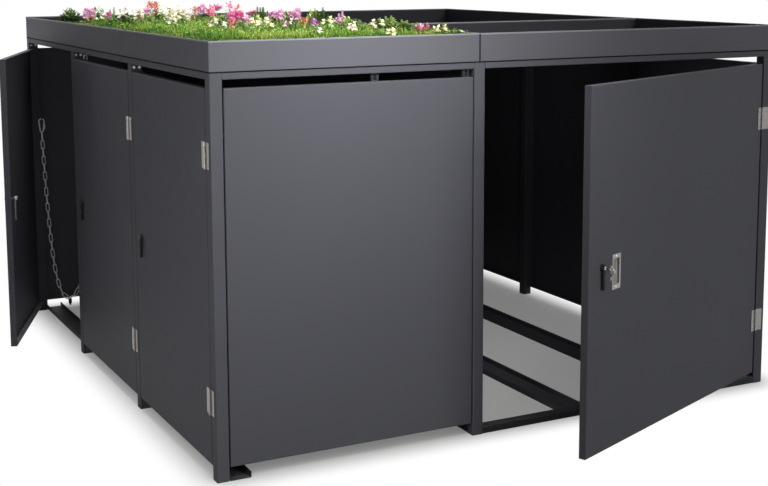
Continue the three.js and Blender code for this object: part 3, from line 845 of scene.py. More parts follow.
def addLeaf(bm, matrix, side, parity, base, grow):  # it takes every other knuckle
    front = hinge["face"] - hinge["fit"] - hinge["leafThickness"] - grow
    back = hinge["face"] - hinge["sink"]
    inner = hinge["knuckleRadius"] + hinge["knuckleFree"] - grow
    outer = hinge["leafWidth"] + grow
    xs = sorted((side * inner, side * outer))
    addPlate(bm, (xs[0], front, base - grow), (xs[1], back, base + hinge["height"] + grow), matrix)
    step = hinge["height"] / hinge["knuckles"]
    r = hinge["knuckleRadius"] + grow
    share, soft = hinge["knuckleRound"]
    xs = sorted((0.0, side * (inner + hinge["webReach"])))
    for i in range(parity, hinge["knuckles"], 2):
        z0 = base + i * step + hinge["knuckleGap"] / 2
        z1 = base + (i + 1) * step - hinge["knuckleGap"] / 2
        profile = [(r * share, z0), (r, z0 + soft * r), (r, z1 - soft * r), (r * share, z1)]
        addLathe(bm, profile, hinge["knuckleSides"], matrix)
        web = hinge["face"] - hinge["webBack"]
        addBlock(bm, (xs[0], front + hinge["webFront"], z0), (xs[1], web, z1), matrix)


def addHingeScrews(bm, matrix, side, body, base):
    depth = hinge["face"] - hinge["screwDepths"][body]
    for row in hinge["screwRows"]:
        spot = Matrix.Translation((side * hinge["screwPlace"], depth, base + hinge["height"] / 2 + row))
        addScrew(bm, matrix @ spot @ outTurn, hinge["screwRadius"])


def buildHinges(door):
    matrix, way = doorFrame(door)
    frameMatrix = closedFrame(door)
    for level in ("lower", "upper"):
        node = f"{door}_hinge_{level}"
        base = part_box(node)[0].z + hinge["pinHead"]
        bm = bmesh.new()
        addLeaf(bm, frameMatrix, -way, 0, base, 0.0)
        r = hinge["pinRadius"]
        for start, sign in ((base, -1), (base + hinge["height"], 1)):
            profile = [(r, start), (r, start + sign * hinge["pinStep"]),
                       (r * hinge["pinTop"], start + sign * hinge["pinHead"])]
            addLathe(bm, profile, hinge["pinSides"], frameMatrix)
        addHingeScrews(bm, frameMatrix, -way, "frame", base)
        piece = makePiece(f"{door}_{level}_frame_leaf", bm, "stainlessSteel", "frame")
        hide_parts(node)
        bm = bmesh.new()
        addLeaf(bm, matrix, way, 1, base, hinge["cover"])
        addHingeScrews(bm, matrix, way, "door", base)
        makePiece(f"{door}_{level}_door_leaf", bm, "stainlessSteel", door)


for door in doorNames:
    buildHinges(door)
print("hinges built")

# Lever handles. Steps are a share of the radius and a depth under the top

lever = {
    "bossRadius": 12 * mm,
    "bossLength": 12 * mm,
    "bossFoot": ((1, 0.0), (1, 2.2 * mm), (0.96, 2.9 * mm), (0.92, 3.1 * mm)),  # share, height over the door
    "bossTop": ((0.90, 2.6 * mm), (0.86, 1.0 * mm), (0.76, 0.0)),
    "bossSides": 40,
    "seatTop": ((1.12, -0.1 * mm), (1.05, 1.0 * mm)),
    "seatCore": (0.2 * mm, 1.1 * mm),
    "length": 70 * mm,
    "head": 4 * mm,
    "neck": 8 * mm,
    "width": 15 * mm,
    "tipWidth": 13 * mm,
    "tipSteps": 8,
    "thickness": 9 * mm,
    "round": 1.8 * mm,
    "roundSteps": ((0.0, 0.9), (0.25, 0.45), (0.7, 0.1), (1.0, 0.0)),  # depth and inset, shares of the round
    "ribs": 3,
    "ribPitch": 8.5 * mm,
    "ribStart": 24 * mm,
    "ribShare": 0.72,
    "ribHeight": 2.4 * mm,
    "ribDepths": (-0.7 * mm, 1.0 * mm),
    "ribBevel": 0.3 * mm,
    "plugRadius": 6.5 * mm,
    "plugTop": ((0.98, 1.6 * mm), (0.98, 0.3 * mm), (0.86, 0.0), (0.2, -0.05 * mm)),
    "plugSides": 24,
    "slotWidth": 1.8 * mm,
    "slotHeight": 6.8 * mm,
    "slotDepths": (-0.25 * mm, 0.5 * mm),
}


def stepped(radius, top, steps):
    return [(radius * share, top - depth) for share, depth in steps]


def addLever(bm, ribs, matrix):
    w, tip, length = lever["width"] / 2, lever["tipWidth"] / 2, lever["length"]
    outline = [(-w, lever["head"]), (-w, -lever["neck"])]
    for i in range(lever["tipSteps"] + 1):
        angle = math.pi + math.pi * i / lever["tipSteps"]
        outline.append((tip * math.cos(angle), tip - length + tip * math.sin(angle)))
    outline += [(w, -lever["neck"]), (w, lever["head"])]
    front = -lever["bossLength"]
    back = front + lever["thickness"]
    r = lever["round"]
    steps = [(front + r * depth, r * inset) for depth, inset in lever["roundSteps"]]
    steps += [(back - r * depth, r * inset) for depth, inset in reversed(lever["roundSteps"])]
    rings = []
    for y, inset in steps:
        shrink = 1 - inset / w
        ring = [matrix @ Vector((x * shrink, y, z + (inset if z < -length / 2 else 0))) for x, z in outline]
        rings.append(ring)
    addLoft(bm, rings)
    depths = [front + depth for depth in lever["ribDepths"]]
    half = lever["ribHeight"] / 2
    for i in range(lever["ribs"]):
        z = -lever["ribStart"] - i * lever["ribPitch"]
        addBar(ribs, lever["tipWidth"] * lever["ribShare"], depths, (z - half, z + half), matrix)


def buildHandle(door):
    matrix = lockFrame(door)
    body = door + "_lock"
    r, plug, length = lever["bossRadius"], lever["plugRadius"], lever["bossLength"]
    core, coreDepth = lever["seatCore"]
    bm = bmesh.new()
    profile = [(r * share, height) for share, height in lever["bossFoot"]]
    profile += stepped(r, length, lever["bossTop"]) + stepped(plug, length, lever["seatTop"])
    addLathe(bm, profile + [(core, length - coreDepth)], lever["bossSides"], matrix @ outTurn)
    ribs = bmesh.new()
    addLever(bm, ribs, matrix)
    piece = makePiece(f"{door}_lever", bm, "blackCasting", body, smoothAngle=50)
    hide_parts(door + "_handle")
    # the ribs are painted lighter: painted highlight
    makePiece(f"{door}_lever_ribs", ribs, "ribCasting", body, bevel=lever["ribBevel"])
    if door == "bike_door":
        return
    bm = bmesh.new()
    addLathe(bm, stepped(plug, length, lever["plugTop"]), lever["plugSides"], matrix @ outTurn)
    makePiece(f"{door}_lock_plug", bm, "darkSteel", body)
    # a black bar on the plug's face: painted shade standing for the keyhole
    bm = bmesh.new()
    depths = [depth - length for depth in lever["slotDepths"]]
    half = lever["slotHeight"] / 2
    addBar(bm, lever["slotWidth"], depths, (-half, half), matrix)
    makePiece(f"{door}_key_slot", bm, "blackCasting", body)


# Nut and washer on each spindle, behind the door

lockNut = {
    "start": 30.6 * mm,
    "washerRadius": 11 * mm,
    "washer": 1.2 * mm,
    "washerCore": 5 * mm,
    "washerSides": 24,
    "across": 15 * mm,
    "height": 5 * mm,
    "sides": 6,
    "bevel": 0.5 * mm,
}


def buildLockNut(door):
    matrix = lockFrame(door) @ inTurn
    bm = bmesh.new()
    z0 = lockNut["start"]
    z1 = z0 + lockNut["washer"]
    r = lockNut["washerRadius"]
    addLathe(bm, [(r, z0), (r, z1), (lockNut["washerCore"], z1)], lockNut["washerSides"], matrix)
    sides = lockNut["sides"]
    r = lockNut["across"] / 2 / math.cos(math.pi / sides)
    addLathe(bm, [(r, z1), (r, z1 + lockNut["height"])], sides, matrix)
    makePiece(f"{door}_cam_nut", bm, "zincPlate", door + "_lock", bevel=lockNut["bevel"])


for door in doorNames:
    buildHandle(door)
    buildLockNut(door)
print("handles built")

# Key, with its ring and a spare key

key = {
    "thickness": 2 * mm,
    "shank": 9 * mm,
    "shankSink": 0.5 * mm,
    "width": 7 * mm,
    "bevel": 0.3 * mm,
    "bowRadius": 10 * mm,
    "bowHole": 3 * mm,
    "bowFlat": 0.10,
    "bowSink": 2 * mm,
    "sides": 28,
    "plugFace": 5.4 * mm,
    "plugProud": 1 * mm,
    "plugDepth": 6 * mm,
    "plugRound": 0.4 * mm,
    "plugEnd": 0.9,
    "plugCore": 0.3 * mm,
    "ringRadius": 7 * mm,
    "ringWire": 0.7 * mm,
    "ringSteps": 32,
    "ringSides": 8,
    "ringTurn": 80,
    "ringHang": 0.55,
    "spareHang": 0.4,
    "spareAside": 1.6 * mm,
    "spareTilt": 14,
    "spareStart": 1.35,
    "spareLength": 13 * mm,
    "spareWidth": 5.2 * mm,
    "spareBevel": 0.2 * mm,
    "teeth": 4,
    "toothStart": 4 * mm,
    "toothPitch": 2.6 * mm,
    "toothHeight": 1.8 * mm,
    "toothDepths": (2.2 * mm, 3.4 * mm),
    "toothShare": 0.9,
}


def addRing(bm, matrix):
    radius = key["ringRadius"]
    turns = turnsOf(key["ringSteps"])
    path = [Vector((radius * math.cos(turn), 0, radius * math.sin(turn))) for turn in turns]
    addWire(bm, path, key["ringWire"], key["ringSides"], matrix)


def addKeyBow(bm, matrix):
    outer, hole = key["bowRadius"], key["bowHole"]
    rims = []
    eyes = []
    for x in (-key["thickness"] / 2, key["thickness"] / 2):
        rim = []
        eye = []
        for turn in turnsOf(key["sides"]):
            flat = 1 - key["bowFlat"] * math.cos(2 * turn)
            rim.append(matrix @ Vector((x, outer * math.cos(turn), outer * flat * math.sin(turn))))
            eye.append(matrix @ Vector((x, hole * math.cos(turn) - outer / 2, hole * math.sin(turn))))
        rims.append(rim)
        eyes.append(eye)
    addClosedSweep(bm, rims + eyes[::-1])


def buildKey():
    matrix = lockFrame("bike_door")
    front = -lever["bossLength"] - key["plugProud"]
    plug = key["plugFace"]
    bm = bmesh.new()
    profile = [(plug, -front - key["plugDepth"]), (plug, -front - key["plugRound"]),
               (plug * key["plugEnd"], -front), (key["plugCore"], -front)]
    addLathe(bm, profile, key["sides"], matrix @ outTurn)
    makePiece("key_plug", bm, "brightZinc", "bike_door_key")
    bm = bmesh.new()
    shankEnd = front - key["shank"]
    depths = (shankEnd - key["bowSink"], front + key["shankSink"])
    addBar(bm, key["thickness"], depths, (-key["width"] / 2, key["width"] / 2), matrix)
    centre = shankEnd - key["bowRadius"] + key["bowSink"]
    addKeyBow(bm, matrix @ Matrix.Translation((0, centre, 0)))
    piece = makePiece("bike_door_key_piece", bm, "brassKey", "bike_door_key",
                      bevel=key["bevel"])
    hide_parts("bike_door_key")
    buildSpareKey(matrix, centre - key["bowRadius"] / 2)


def buildSpareKey(matrix, eye):  # it hangs on its ring from the eye in the first key's bow
    drop = key["ringRadius"] - key["bowHole"] * key["ringHang"]
    bm = bmesh.new()
    hang = matrix @ Matrix.Translation((0, eye, -drop))
    addRing(bm, hang @ Matrix.Rotation(math.radians(key["ringTurn"]), 4, "Z"))
    makePiece("key_ring", bm, "zincPlate", "bike_door_key")
    bm = bmesh.new()
    low = -2 * drop - key["bowHole"] * key["spareHang"]
    base = matrix @ Matrix.Translation((key["spareAside"], eye, low))
    base = base @ Matrix.Rotation(math.radians(key["spareTilt"]), 4, "X")
    turned = base @ Matrix.Rotation(math.radians(90), 4, "X")
    addKeyBow(bm, turned @ Matrix.Translation((0, key["bowRadius"] / 2, 0)))
    top = -key["bowRadius"] * key["spareStart"]
    half = key["spareWidth"] / 2
    addBar(bm, key["thickness"], (-half, half), (top - key["spareLength"], top), base)
    half = key["toothHeight"] / 2
    for i in range(key["teeth"]):
        z = top - key["toothStart"] - i * key["toothPitch"]
        addBar(bm, key["thickness"] * key["toothShare"], key["toothDepths"], (z - half, z + half), base)
    makePiece("spare_key", bm, "brassKey", "bike_door_key", bevel=key["spareBevel"])


buildKey()
print("key built")

# Flush pull

pull = {
    "width": 50 * mm,
    "height": 112 * mm,
    "corner": 3 * mm,
    "cornerSteps": 5,
    "flange": 1.8 * mm,
    "flangeEdge": 0.7,
    "lip": 0.5 * mm,
    "lipCorner": 2.6 * mm,
    "land": 0.45,
    "bead": 2.2 * mm,
    "beadSlope": 0.7 * mm,
    "rim": 6 * mm,
    "end": 15 * mm,
    "mouth": 1.2 * mm,
    "mouthDepths": (0.3 * mm, 0.4 * mm),
    "cup": 12 * mm,
    "cupCorner": 2.2 * mm,
    "wall": 0.8 * mm,
    "draft": 0.5 * mm,
    "draftDepths": (3 * mm, 3.5 * mm),
    "floor": 3 * mm,
    "floorCorner": 2.0 * mm,
    "floorDepth": 1.6 * mm,
    "screw": 3.6 * mm,
}


def roundedLoop(w, h, radius, y, matrix):
    loop = []
    steps = pull["cornerSteps"]
    for sx, sz, start in ((1, 1, 0), (-1, 1, 90), (-1, -1, 180), (1, -1, 270)):
        for i in range(steps + 1):
            angle = math.radians(start + 90 * i / steps)
            x = sx * (w - radius) + radius * math.cos(angle)
            z = sz * (h - radius) + radius * math.sin(angle)
            loop.append(matrix @ Vector((x, y, z)))
    return loop


def buildPull():
    low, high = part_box("bike_door_pull")
    door, _ = doorFrame("bike_door")
    centre = door.inverted() @ ((low + high) / 2)
    matrix = door @ Matrix.Translation((centre.x, hinge["face"] - hinge["fit"], centre.z))
    outer = pull["width"] / 2, pull["height"] / 2
    inner = outer[0] - pull["rim"], outer[1] - pull["end"]
    top, land = -pull["flange"], -pull["flange"] * pull["land"]
    wall, draft, floor, bead, cup = pull["wall"], pull["draft"], pull["floor"], pull["bead"], pull["cup"]
    cupCorner, floorCorner = pull["cupCorner"], pull["floorCorner"]
    floorLevel = cup - pull["floorDepth"]
    # From the cup's back over the flange into the cup: outline, growth, corner radius, depth
    sections = (
        (inner, wall - floor, floorCorner, floorLevel + wall),
        (inner, wall - draft, cupCorner, cup - pull["draftDepths"][0]),
        (inner, wall, cupCorner, pull["mouthDepths"][0]),
        (outer, 0, pull["corner"], 0),
        (outer, 0, pull["corner"], top * pull["flangeEdge"]),
        (outer, -pull["lip"], pull["lipCorner"], top),
        (outer, -bead, cupCorner, top),
        (outer, -bead - pull["beadSlope"], floorCorner, land),
        (inner, pull["mouth"], pull["lipCorner"], land),
        (inner, 0, cupCorner, pull["mouthDepths"][1]),
        (inner, -draft, cupCorner, cup - pull["draftDepths"][1]),
        (inner, -floor, floorCorner, floorLevel),
    )
    bm = bmesh.new()
    addLoft(bm, [roundedLoop(size[0] + grow, size[1] + grow, corner, depth, matrix)
                 for size, grow, corner, depth in sections])
    piece = makePiece("bike_door_flush_pull", bm, "pullSteel", "bike_door", smoothAngle=32)
    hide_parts("bike_door_pull")
    bm = bmesh.new()
    for sign in (-1, 1):
        spot = Matrix.Translation((0, land, sign * (outer[1] - pull["end"] / 2)))
        addScrew(bm, matrix @ spot @ outTurn, pull["screw"])
    makePiece("pull_screws", bm, "brightZinc", "bike_door")


buildPull()
print("flush pull built")

# Bolts that hold the side rails, in pairs at the heads of the left posts

bolts = {"height": 1214 * mm, "spread": 9.5 * mm, "radius": 5 * mm, "post": 40 * mm}


def buildBolts():
    bm = bmesh.new()
    for post in ("post_left_1", "post_left_2", "post_back_left"):
        low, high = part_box(post)
        for sign in (-1, 1):
            x = low.x + bolts["post"] / 2 + sign * bolts["spread"]
            spot = Matrix.Translation((x, high.y - bolts["post"], bolts["height"]))
            addScrew(bm, spot @ outTurn, bolts["radius"])
    # the bolt heads' near-white colour is a painted glint
    makePiece("rail_bolts", bm, "boltZinc", "frame")


buildBolts()
print("bolts built")

# Hemmed rims of the trays in a lighter paint as a painted highlight, and black seals under and between them
# as painted shadow

trim = {
    "hemWidth": 3.4 * mm,
    "hemHeight": 4.5 * mm,
    "hemProud": 0.5 * mm,
    "hemSoft": 0.3,
    "sealWidth": 2.6 * mm,
    "sealHeight": 4.2 * mm,
    "sealProud": 0.5 * mm,
    "sealNip": 0.4 * mm,
    "sealBase": 1245.2 * mm,
    "jointWidth": 4.4 * mm,
    "jointDepth": 0.7 * mm,
    "jointDrop": 1.5 * mm,
}


def addBand(bm, low, high, profile):
    corners = ((low.x, low.y, 1, 1), (high.x, low.y, -1, 1), (high.x, high.y, -1, -1), (low.x, high.y, 1, -1))
    rings = []
    for x, y, inX, inY in corners:
        rings.append([Vector((x + inX * inset, y + inY * inset, z)) for inset, z in profile])
    addClosedSweep(bm, rings)


def buildTrayTrim():
    hems = bmesh.new()
    seals = bmesh.new()
    outer = -trim["hemProud"]
    inner = outer + trim["hemWidth"]
    soft = trim["hemWidth"] * trim["hemSoft"]
    nick = trim["hemSoft"] * soft
    edge, nip, z0 = -trim["sealProud"], trim["sealNip"], trim["sealBase"]
    deep, z1 = edge + trim["sealWidth"], z0 + trim["sealHeight"]
    boxes = [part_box(tray) for tray in paintedTrayShade["finishes"]]
    for low, high in boxes:
        base = high.z - trim["hemHeight"]
        top = high.z + trim["hemProud"]
        hem = [(outer, base), (outer, top - soft), (outer + nick, top - nick), (outer + soft, top),
               (inner - soft, top), (inner - nick, top - nick), (inner, top - soft), (inner, base)]
        addBand(hems, low, high, hem)
        # black strip under each tray: painted shadow for the dark line between tray and rail
        addBand(seals, low, high, [(edge + nip, z0), (edge, z0 + nip), (edge, z1 - nip), (edge + nip, z1),
                                   (deep, z1), (deep, z0)])
    left, right, back = boxes
    out, half = trim["jointDepth"], trim["jointWidth"] / 2
    top = right[1].z - trim["jointDrop"]
    x = (left[1].x + right[0].x) / 2
    # black joint strips between the trays: painted shadow in the seam
    addBlock(seals, (x - half, left[0].y - out, z0), (x + half, left[1].y + out, top))
    y = (right[1].y + back[0].y) / 2
    addBlock(seals, (x, y - half, z0), (right[1].x + out, y + half, top))
    # the hems' lighter paint is a painted highlight
    makePiece("tray_hems", hems, "rimHighlightPaint", "frame")
    makePiece("tray_shadow_seals", seals, "sealRubber", "frame")


buildTrayTrim()
print("tray trim built")

# Slotted brackets over the clips of the front panel, each with its screw, in dark paint as painted shade,
# with black pads in the slots as painted shadow

bracket = {
    "places": (526.7 * mm, 854.7 * mm),
    "width": 25 * mm,
    "sheet": 1.4 * mm,
    "front": -8.9 * mm,
    "depth": 11 * mm,
    "base": 1199.2 * mm,
    "top": 1224.9 * mm,
    "screw": 3.6 * mm,
    "slot": 9.5 * mm,
    "foot": 4 * mm,
    "head": 5 * mm,
    "padLevel": 0.7,
    "sideLevel": 0.5,
    "bevel": 0.4 * mm,
}


def buildBrackets():
    bm = bmesh.new()
    screws = bmesh.new()
    pads = bmesh.new()
    front, sheet, half, slot = bracket["front"], bracket["sheet"], bracket["width"] / 2, bracket["slot"] / 2
    base, top = bracket["base"], bracket["top"]
    low, high = base + bracket["foot"], top - bracket["head"]
    pad = front + bracket["padLevel"] * sheet
    behind = front + bracket["sideLevel"] * sheet
    for x in bracket["places"]:
        addBlock(bm, (x - half, front, base), (x + half, front + sheet, low))
        addBlock(bm, (x - half, front, high), (x + half, front + sheet, top))
        for side in (-1, 1):
            xs = sorted((x + side * half, x + side * slot))
            addBlock(bm, (xs[0], front, low), (xs[1], front + sheet, high))
            xs = sorted((x + side * half, x + side * (half - sheet)))
            addBlock(bm, (xs[0], behind, base), (xs[1], front + bracket["depth"], top))
        # black pad behind the slot: painted shadow
        addBlock(pads, (x - slot, pad, low), (x + slot, front + sheet, high))
        addScrew(screws, Matrix.Translation((x, pad, (base + top) / 2)) @ outTurn, bracket["screw"])
    # the dark frame paint on the brackets is painted shade
    makePiece("clip_brackets", bm, "darkFramePaint", "frame", bevel=bracket["bevel"])
    makePiece("clip_screws", screws, "blackCasting", "frame")
    makePiece("clip_shadow_pads", pads, "sealRubber", "frame")


buildBrackets()
print("clip brackets built")

# Chain with its snap hook and clip, along the same catenary as the solid

chain = {
    "plane": 2318 * mm,
    "wire": 2.3 * mm,
    "width": 18 * mm,
    "pitch": 36 * mm,
    "low": 44 * mm,
    "gap": 0.3 * mm,
    "eyeHole": 5 * mm,
    "eyeHeight": 884 * mm,
    "endX": 232 * mm,
    "endZ": 1236 * mm,
    "steps": 10,
    "sides": 8,
    "halvings": 60,
}

hook = {
    "place": 21 * mm,
    "width": 30 * mm,
    "length": 66 * mm,
    "wire": 3 * mm,
    "taper": 0.4,
    "steps": 14,
    "sides": 10,
    "gateInset": 1.1,
    "gateLow": -16 * mm,
    "gateTilt": 5,
    "gateGirth": 1.22,
    "gateProfile": ((0.8, -2 * mm), (1, 0.0), (1, 20 * mm), (0.8, 22 * mm)),  # share of the girth, height
    "gateSides": 16,
}

clip = {  # width, depth, top and bottom under the chain
    "parts": ((14 * mm, 10 * mm, 0.0, 22 * mm), (8 * mm, 7 * mm, 21 * mm, 30 * mm)),
    "drop": 1 * mm,
    "bevel": 1.5 * mm,
}


def addLink(bm, look, length, matrix, taper=0.0):
    wire, steps = look["wire"], look["steps"]
    bend = look["width"] / 2 - wire
    straight = length / 2 - wire - bend
    path = []
    for half, start, narrow in ((1, 0.0, 1.0), (-1, math.pi, 1 - taper)):
        for i in range(steps + 1):
            angle = start + math.pi * i / steps
            across = bend * narrow * math.cos(angle)
            path.append(Vector((across, 0, half * straight + bend * math.sin(angle))))
    addWire(bm, path, wire, look["sides"], matrix)


def sagSpan(size, rise):  # how far a catenary of this size runs while it rises so much
    return size * math.acosh(1 + rise / size)


def chainJoints():
    hookTop = chain["eyeHeight"] - chain["eyeHole"] + chain["gap"] + 2 * hook["wire"]
    hookLow = hookTop - hook["length"]
    startRise = hookLow + hook["wire"] - chain["wire"] - chain["low"]
    endRise = chain["endZ"] - chain["eyeHole"] + chain["gap"] + 2 * chain["wire"] - chain["low"]
    span = chain["endX"] - hook["place"]
    small, large = 1 * mm, span
    for _ in range(chain["halvings"]):  # halving finds the catenary that spans the bay
        size = (small + large) / 2
        if sagSpan(size, startRise) + sagSpan(size, endRise) < span:
            small = size
        else:
            large = size
    size = small
    lowX = hook["place"] + sagSpan(size, startRise)
    first = size * math.sinh((hook["place"] - lowX) / size)
    last = size * math.sinh((chain["endX"] - lowX) / size)
    count = 2 * round((last - first) / chain["pitch"] / 2)
    spots = []
    for k in range(count + 1):
        s = first + (last - first) * k / count
        x = lowX + size * math.asinh(s / size)
        spots.append(Vector((x, chain["plane"], chain["low"] - size + math.hypot(size, s))))
    return spots, hookLow, lowX


def buildChain():
    spots, hookLow, lowX = chainJoints()
    bm = bmesh.new()
    for k, (a, b) in enumerate(zip(spots, spots[1:])):
        lean = math.atan2(b.x - a.x, b.z - a.z)
        matrix = Matrix.Translation((a + b) / 2) @ Matrix.Rotation(lean, 4, "Y")
        if k % 2 == 0:
            matrix = matrix @ Matrix.Rotation(math.radians(90), 4, "Z")
        addLink(bm, chain, (b - a).length + 4 * chain["wire"], matrix)
    piece = makePiece("hanging_chain", bm, "chainZinc", "frame", smoothAngle=60)
    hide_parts("bin_chain")
    buildHook(hookLow)
    buildClip(lowX)


def buildHook(hookLow):
    bm = bmesh.new()
    centre = Vector((hook["place"], chain["plane"], hookLow + hook["length"] / 2))
    addLink(bm, hook, hook["length"], Matrix.Translation(centre), taper=hook["taper"])
    side = hook["width"] / 2 - hook["wire"] * hook["gateInset"]
    gate = Matrix.Translation(centre + Vector((side, 0, hook["gateLow"])))
    gate = gate @ Matrix.Rotation(math.radians(hook["gateTilt"]), 4, "Y")
    r = hook["wire"] * hook["gateGirth"]
    addLathe(bm, [(r * share, height) for share, height in hook["gateProfile"]], hook["gateSides"], gate)
    makePiece("snap_hook", bm, "chainZinc", "frame", smoothAngle=50)


def buildClip(lowX):
    bm = bmesh.new()
    place = Matrix.Translation((lowX, chain["plane"], chain["low"] - clip["drop"]))
    for width, depth, top, bottom in clip["parts"]:
        addBar(bm, width, (-depth / 2, depth / 2), (-bottom, -top), place)
    makePiece("chain_clip", bm, "blackCasting", "frame", bevel=clip["bevel"])


buildChain()
print("chain built")

# Planting of the left tray

bed = {
    "matTop": 1338 * mm,
    "matBase": 1252 * mm,
    "matEdge": 6 * mm,
    "cell": 12 * mm,
    "hills": 5 * mm,
    "hillWaves": ((5, 0.3, 1.0), (17, 2.1, 0.5)),  # scale, layer, share
    "sinkSpan": (1.55, 2.05),
    "sink": 26 * mm,
    "rimShare": 0.45,
    "rimReach": 70 * mm,
    "farShare": 0.4,
    "farSpan": (1.1, 1.7),
    "rightShare": 0.6,
    "seed": 7,
    "flowerSeed": 11,
}

bedLow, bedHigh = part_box("roof_planting")
bedBox = (bedLow.x, bedHigh.x, bedLow.y, bedHigh.y)


def smoothStep(start, end, value):
    share = min(max((value - start) / (end - start), 0.0), 1.0)
    return share * share * (3 - 2 * share)


def waveAt(x, y, scale, layer):
    return noise.noise(Vector((x * scale, y * scale, layer)))


def groundHeight(x, y):
    soft = sum(share * waveAt(x, y, scale, layer) for scale, layer, share in bed["hillWaves"])
    return bed["matTop"] + bed["hills"] * soft - bed["sink"] * smoothStep(*bed["sinkSpan"], y)


def growthShare(x, y):  # the turf is shorter at the rims, at the far end and to the right
    x0, x1, y0, y1 = bedBox
    edge = min(x - x0, x1 - x, y - y0, y1 - y)
    atRim = bed["rimShare"] + (1 - bed["rimShare"]) * smoothStep(0.0, bed["rimReach"], edge)
    atEnd = 1 - (1 - bed["farShare"]) * smoothStep(*bed["farSpan"], y)
    atRight = 1 - (1 - bed["rightShare"]) * ((x - x0) / (x1 - x0)) ** 2
    return atRim * atEnd * atRight


def buildTurfMat():
    x0, x1, y0, y1 = bedBox
    columns = round((x1 - x0) / bed["cell"])
    rows = round((y1 - y0) / bed["cell"])
    bm = bmesh.new()
    grid = []
    for j in range(rows + 1):
        line = []
        for i in range(columns + 1):
            x = x0 + (x1 - x0) * i / columns
            y = y0 + (y1 - y0) * j / rows
            edge = min(i, columns - i, j, rows - j)
            z = groundHeight(x, y) - (bed["matEdge"] if edge == 0 else 0)
            line.append(bm.verts.new((x, y, z)))
        grid.append(line)
    for j in range(rows):
        for i in range(columns):
            bm.faces.new((grid[j][i], grid[j][i + 1], grid[j + 1][i + 1], grid[j + 1][i]))
    border = [edge for edge in bm.edges if edge.is_boundary]
    made = bmesh.ops.extrude_edge_only(bm, edges=border)["geom"]
    for item in made:
        if isinstance(item, bmesh.types.BMVert):
            item.co.z = bed["matBase"]
    bmesh.ops.contextual_create(bm, geom=[edge for edge in bm.edges if edge.is_boundary])
    piece = makePiece("turf_mat", bm, "turfMat", "frame", smoothAngle=60)
    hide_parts("roof_planting")


# Blades and petals. Each store holds the points and the faces of one finish

blade = {
    "count": 46000,
    "length": (13 * mm, 42 * mm),
    "lengthShare": (0.75, 1.0),
    "leanShare": (0.1, 0.6),
    "width": 2.4 * mm,
    "widthShare": (0.7, 1.3),
    "inset": 2 * mm,
    "root": 2 * mm,
    "tuft": (30, 5.0, 0.5, 0.9, 0.15),  # scale, layer, middle, swing, least
    "toneWaves": ((4.5, 1.7, 0.6), (40, 7.3, 0.6)),  # scale, layer, share
    "toneChance": 0.7,
    "toneShift": 0.15,
    "toneLimits": (0.38, 0.79),
    "bend": 1.7,
    "taper": 1.6,
    "steps": 2,
}

petal = {
    "outline": ((0.0, 0.3), (0.4, 1.0), (0.78, 0.9), (1.0, 0.35)),  # share of the length, share of the width
    "upright": (0.13, 0.07, 1),
    "curl": 0.35,
    "arch": 1.4,
}


def rayOf(heading, rise):
    return Vector((math.cos(heading), math.sin(heading), rise))


def addBlade(store, root, height, lean, heading, width, bend=1.0):
    verts, faces = store
    side = Vector((-math.sin(heading), math.cos(heading), 0))
    ahead = rayOf(heading, 0)
    start = len(verts)
    for i in range(blade["steps"]):
        t = i / blade["steps"]
        centre = root + ahead * (lean * t ** bend) + Vector((0, 0, height * t))
        half = width / 2 * (1 - t ** blade["taper"])
        verts += [centre - side * half, centre + side * half]
    verts.append(root + ahead * lean + Vector((0, 0, height)))
    last = start + 2 * (blade["steps"] - 1)
    for a in range(start, last, 2):
        faces.append((a, a + 1, a + 3, a + 2))
    faces.append((last, last + 1, last + 2))


def addPetal(store, root, direction, length, width, curl=petal["curl"]):
    verts, faces = store
    direction = direction.normalized()
    side = direction.cross(Vector(petal["upright"])).normalized()
    up = side.cross(direction)
    start = len(verts)
    for t, wide in petal["outline"]:
        centre = root + direction * (length * t) + up * (curl * length * (t - t * t * petal["arch"]))
        half = side * (width / 2 * wide)
        verts += [centre - half, centre + half]
    for a in range(start, len(verts) - 2, 2):
        faces.append((a, a + 1, a + 3, a + 2))


def makeFoliage(name, store, finish):
    mesh = bpy.data.meshes.new(name)
    mesh.from_pydata(store[0], [], store[1])
    mesh.validate()
    piece = bpy.data.objects.new(name, mesh)
    scene.collection.objects.link(piece)
    for polygon in mesh.polygons:
        polygon.use_smooth = True
    mesh.materials.append(materials[finish])
    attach(piece, "frame")


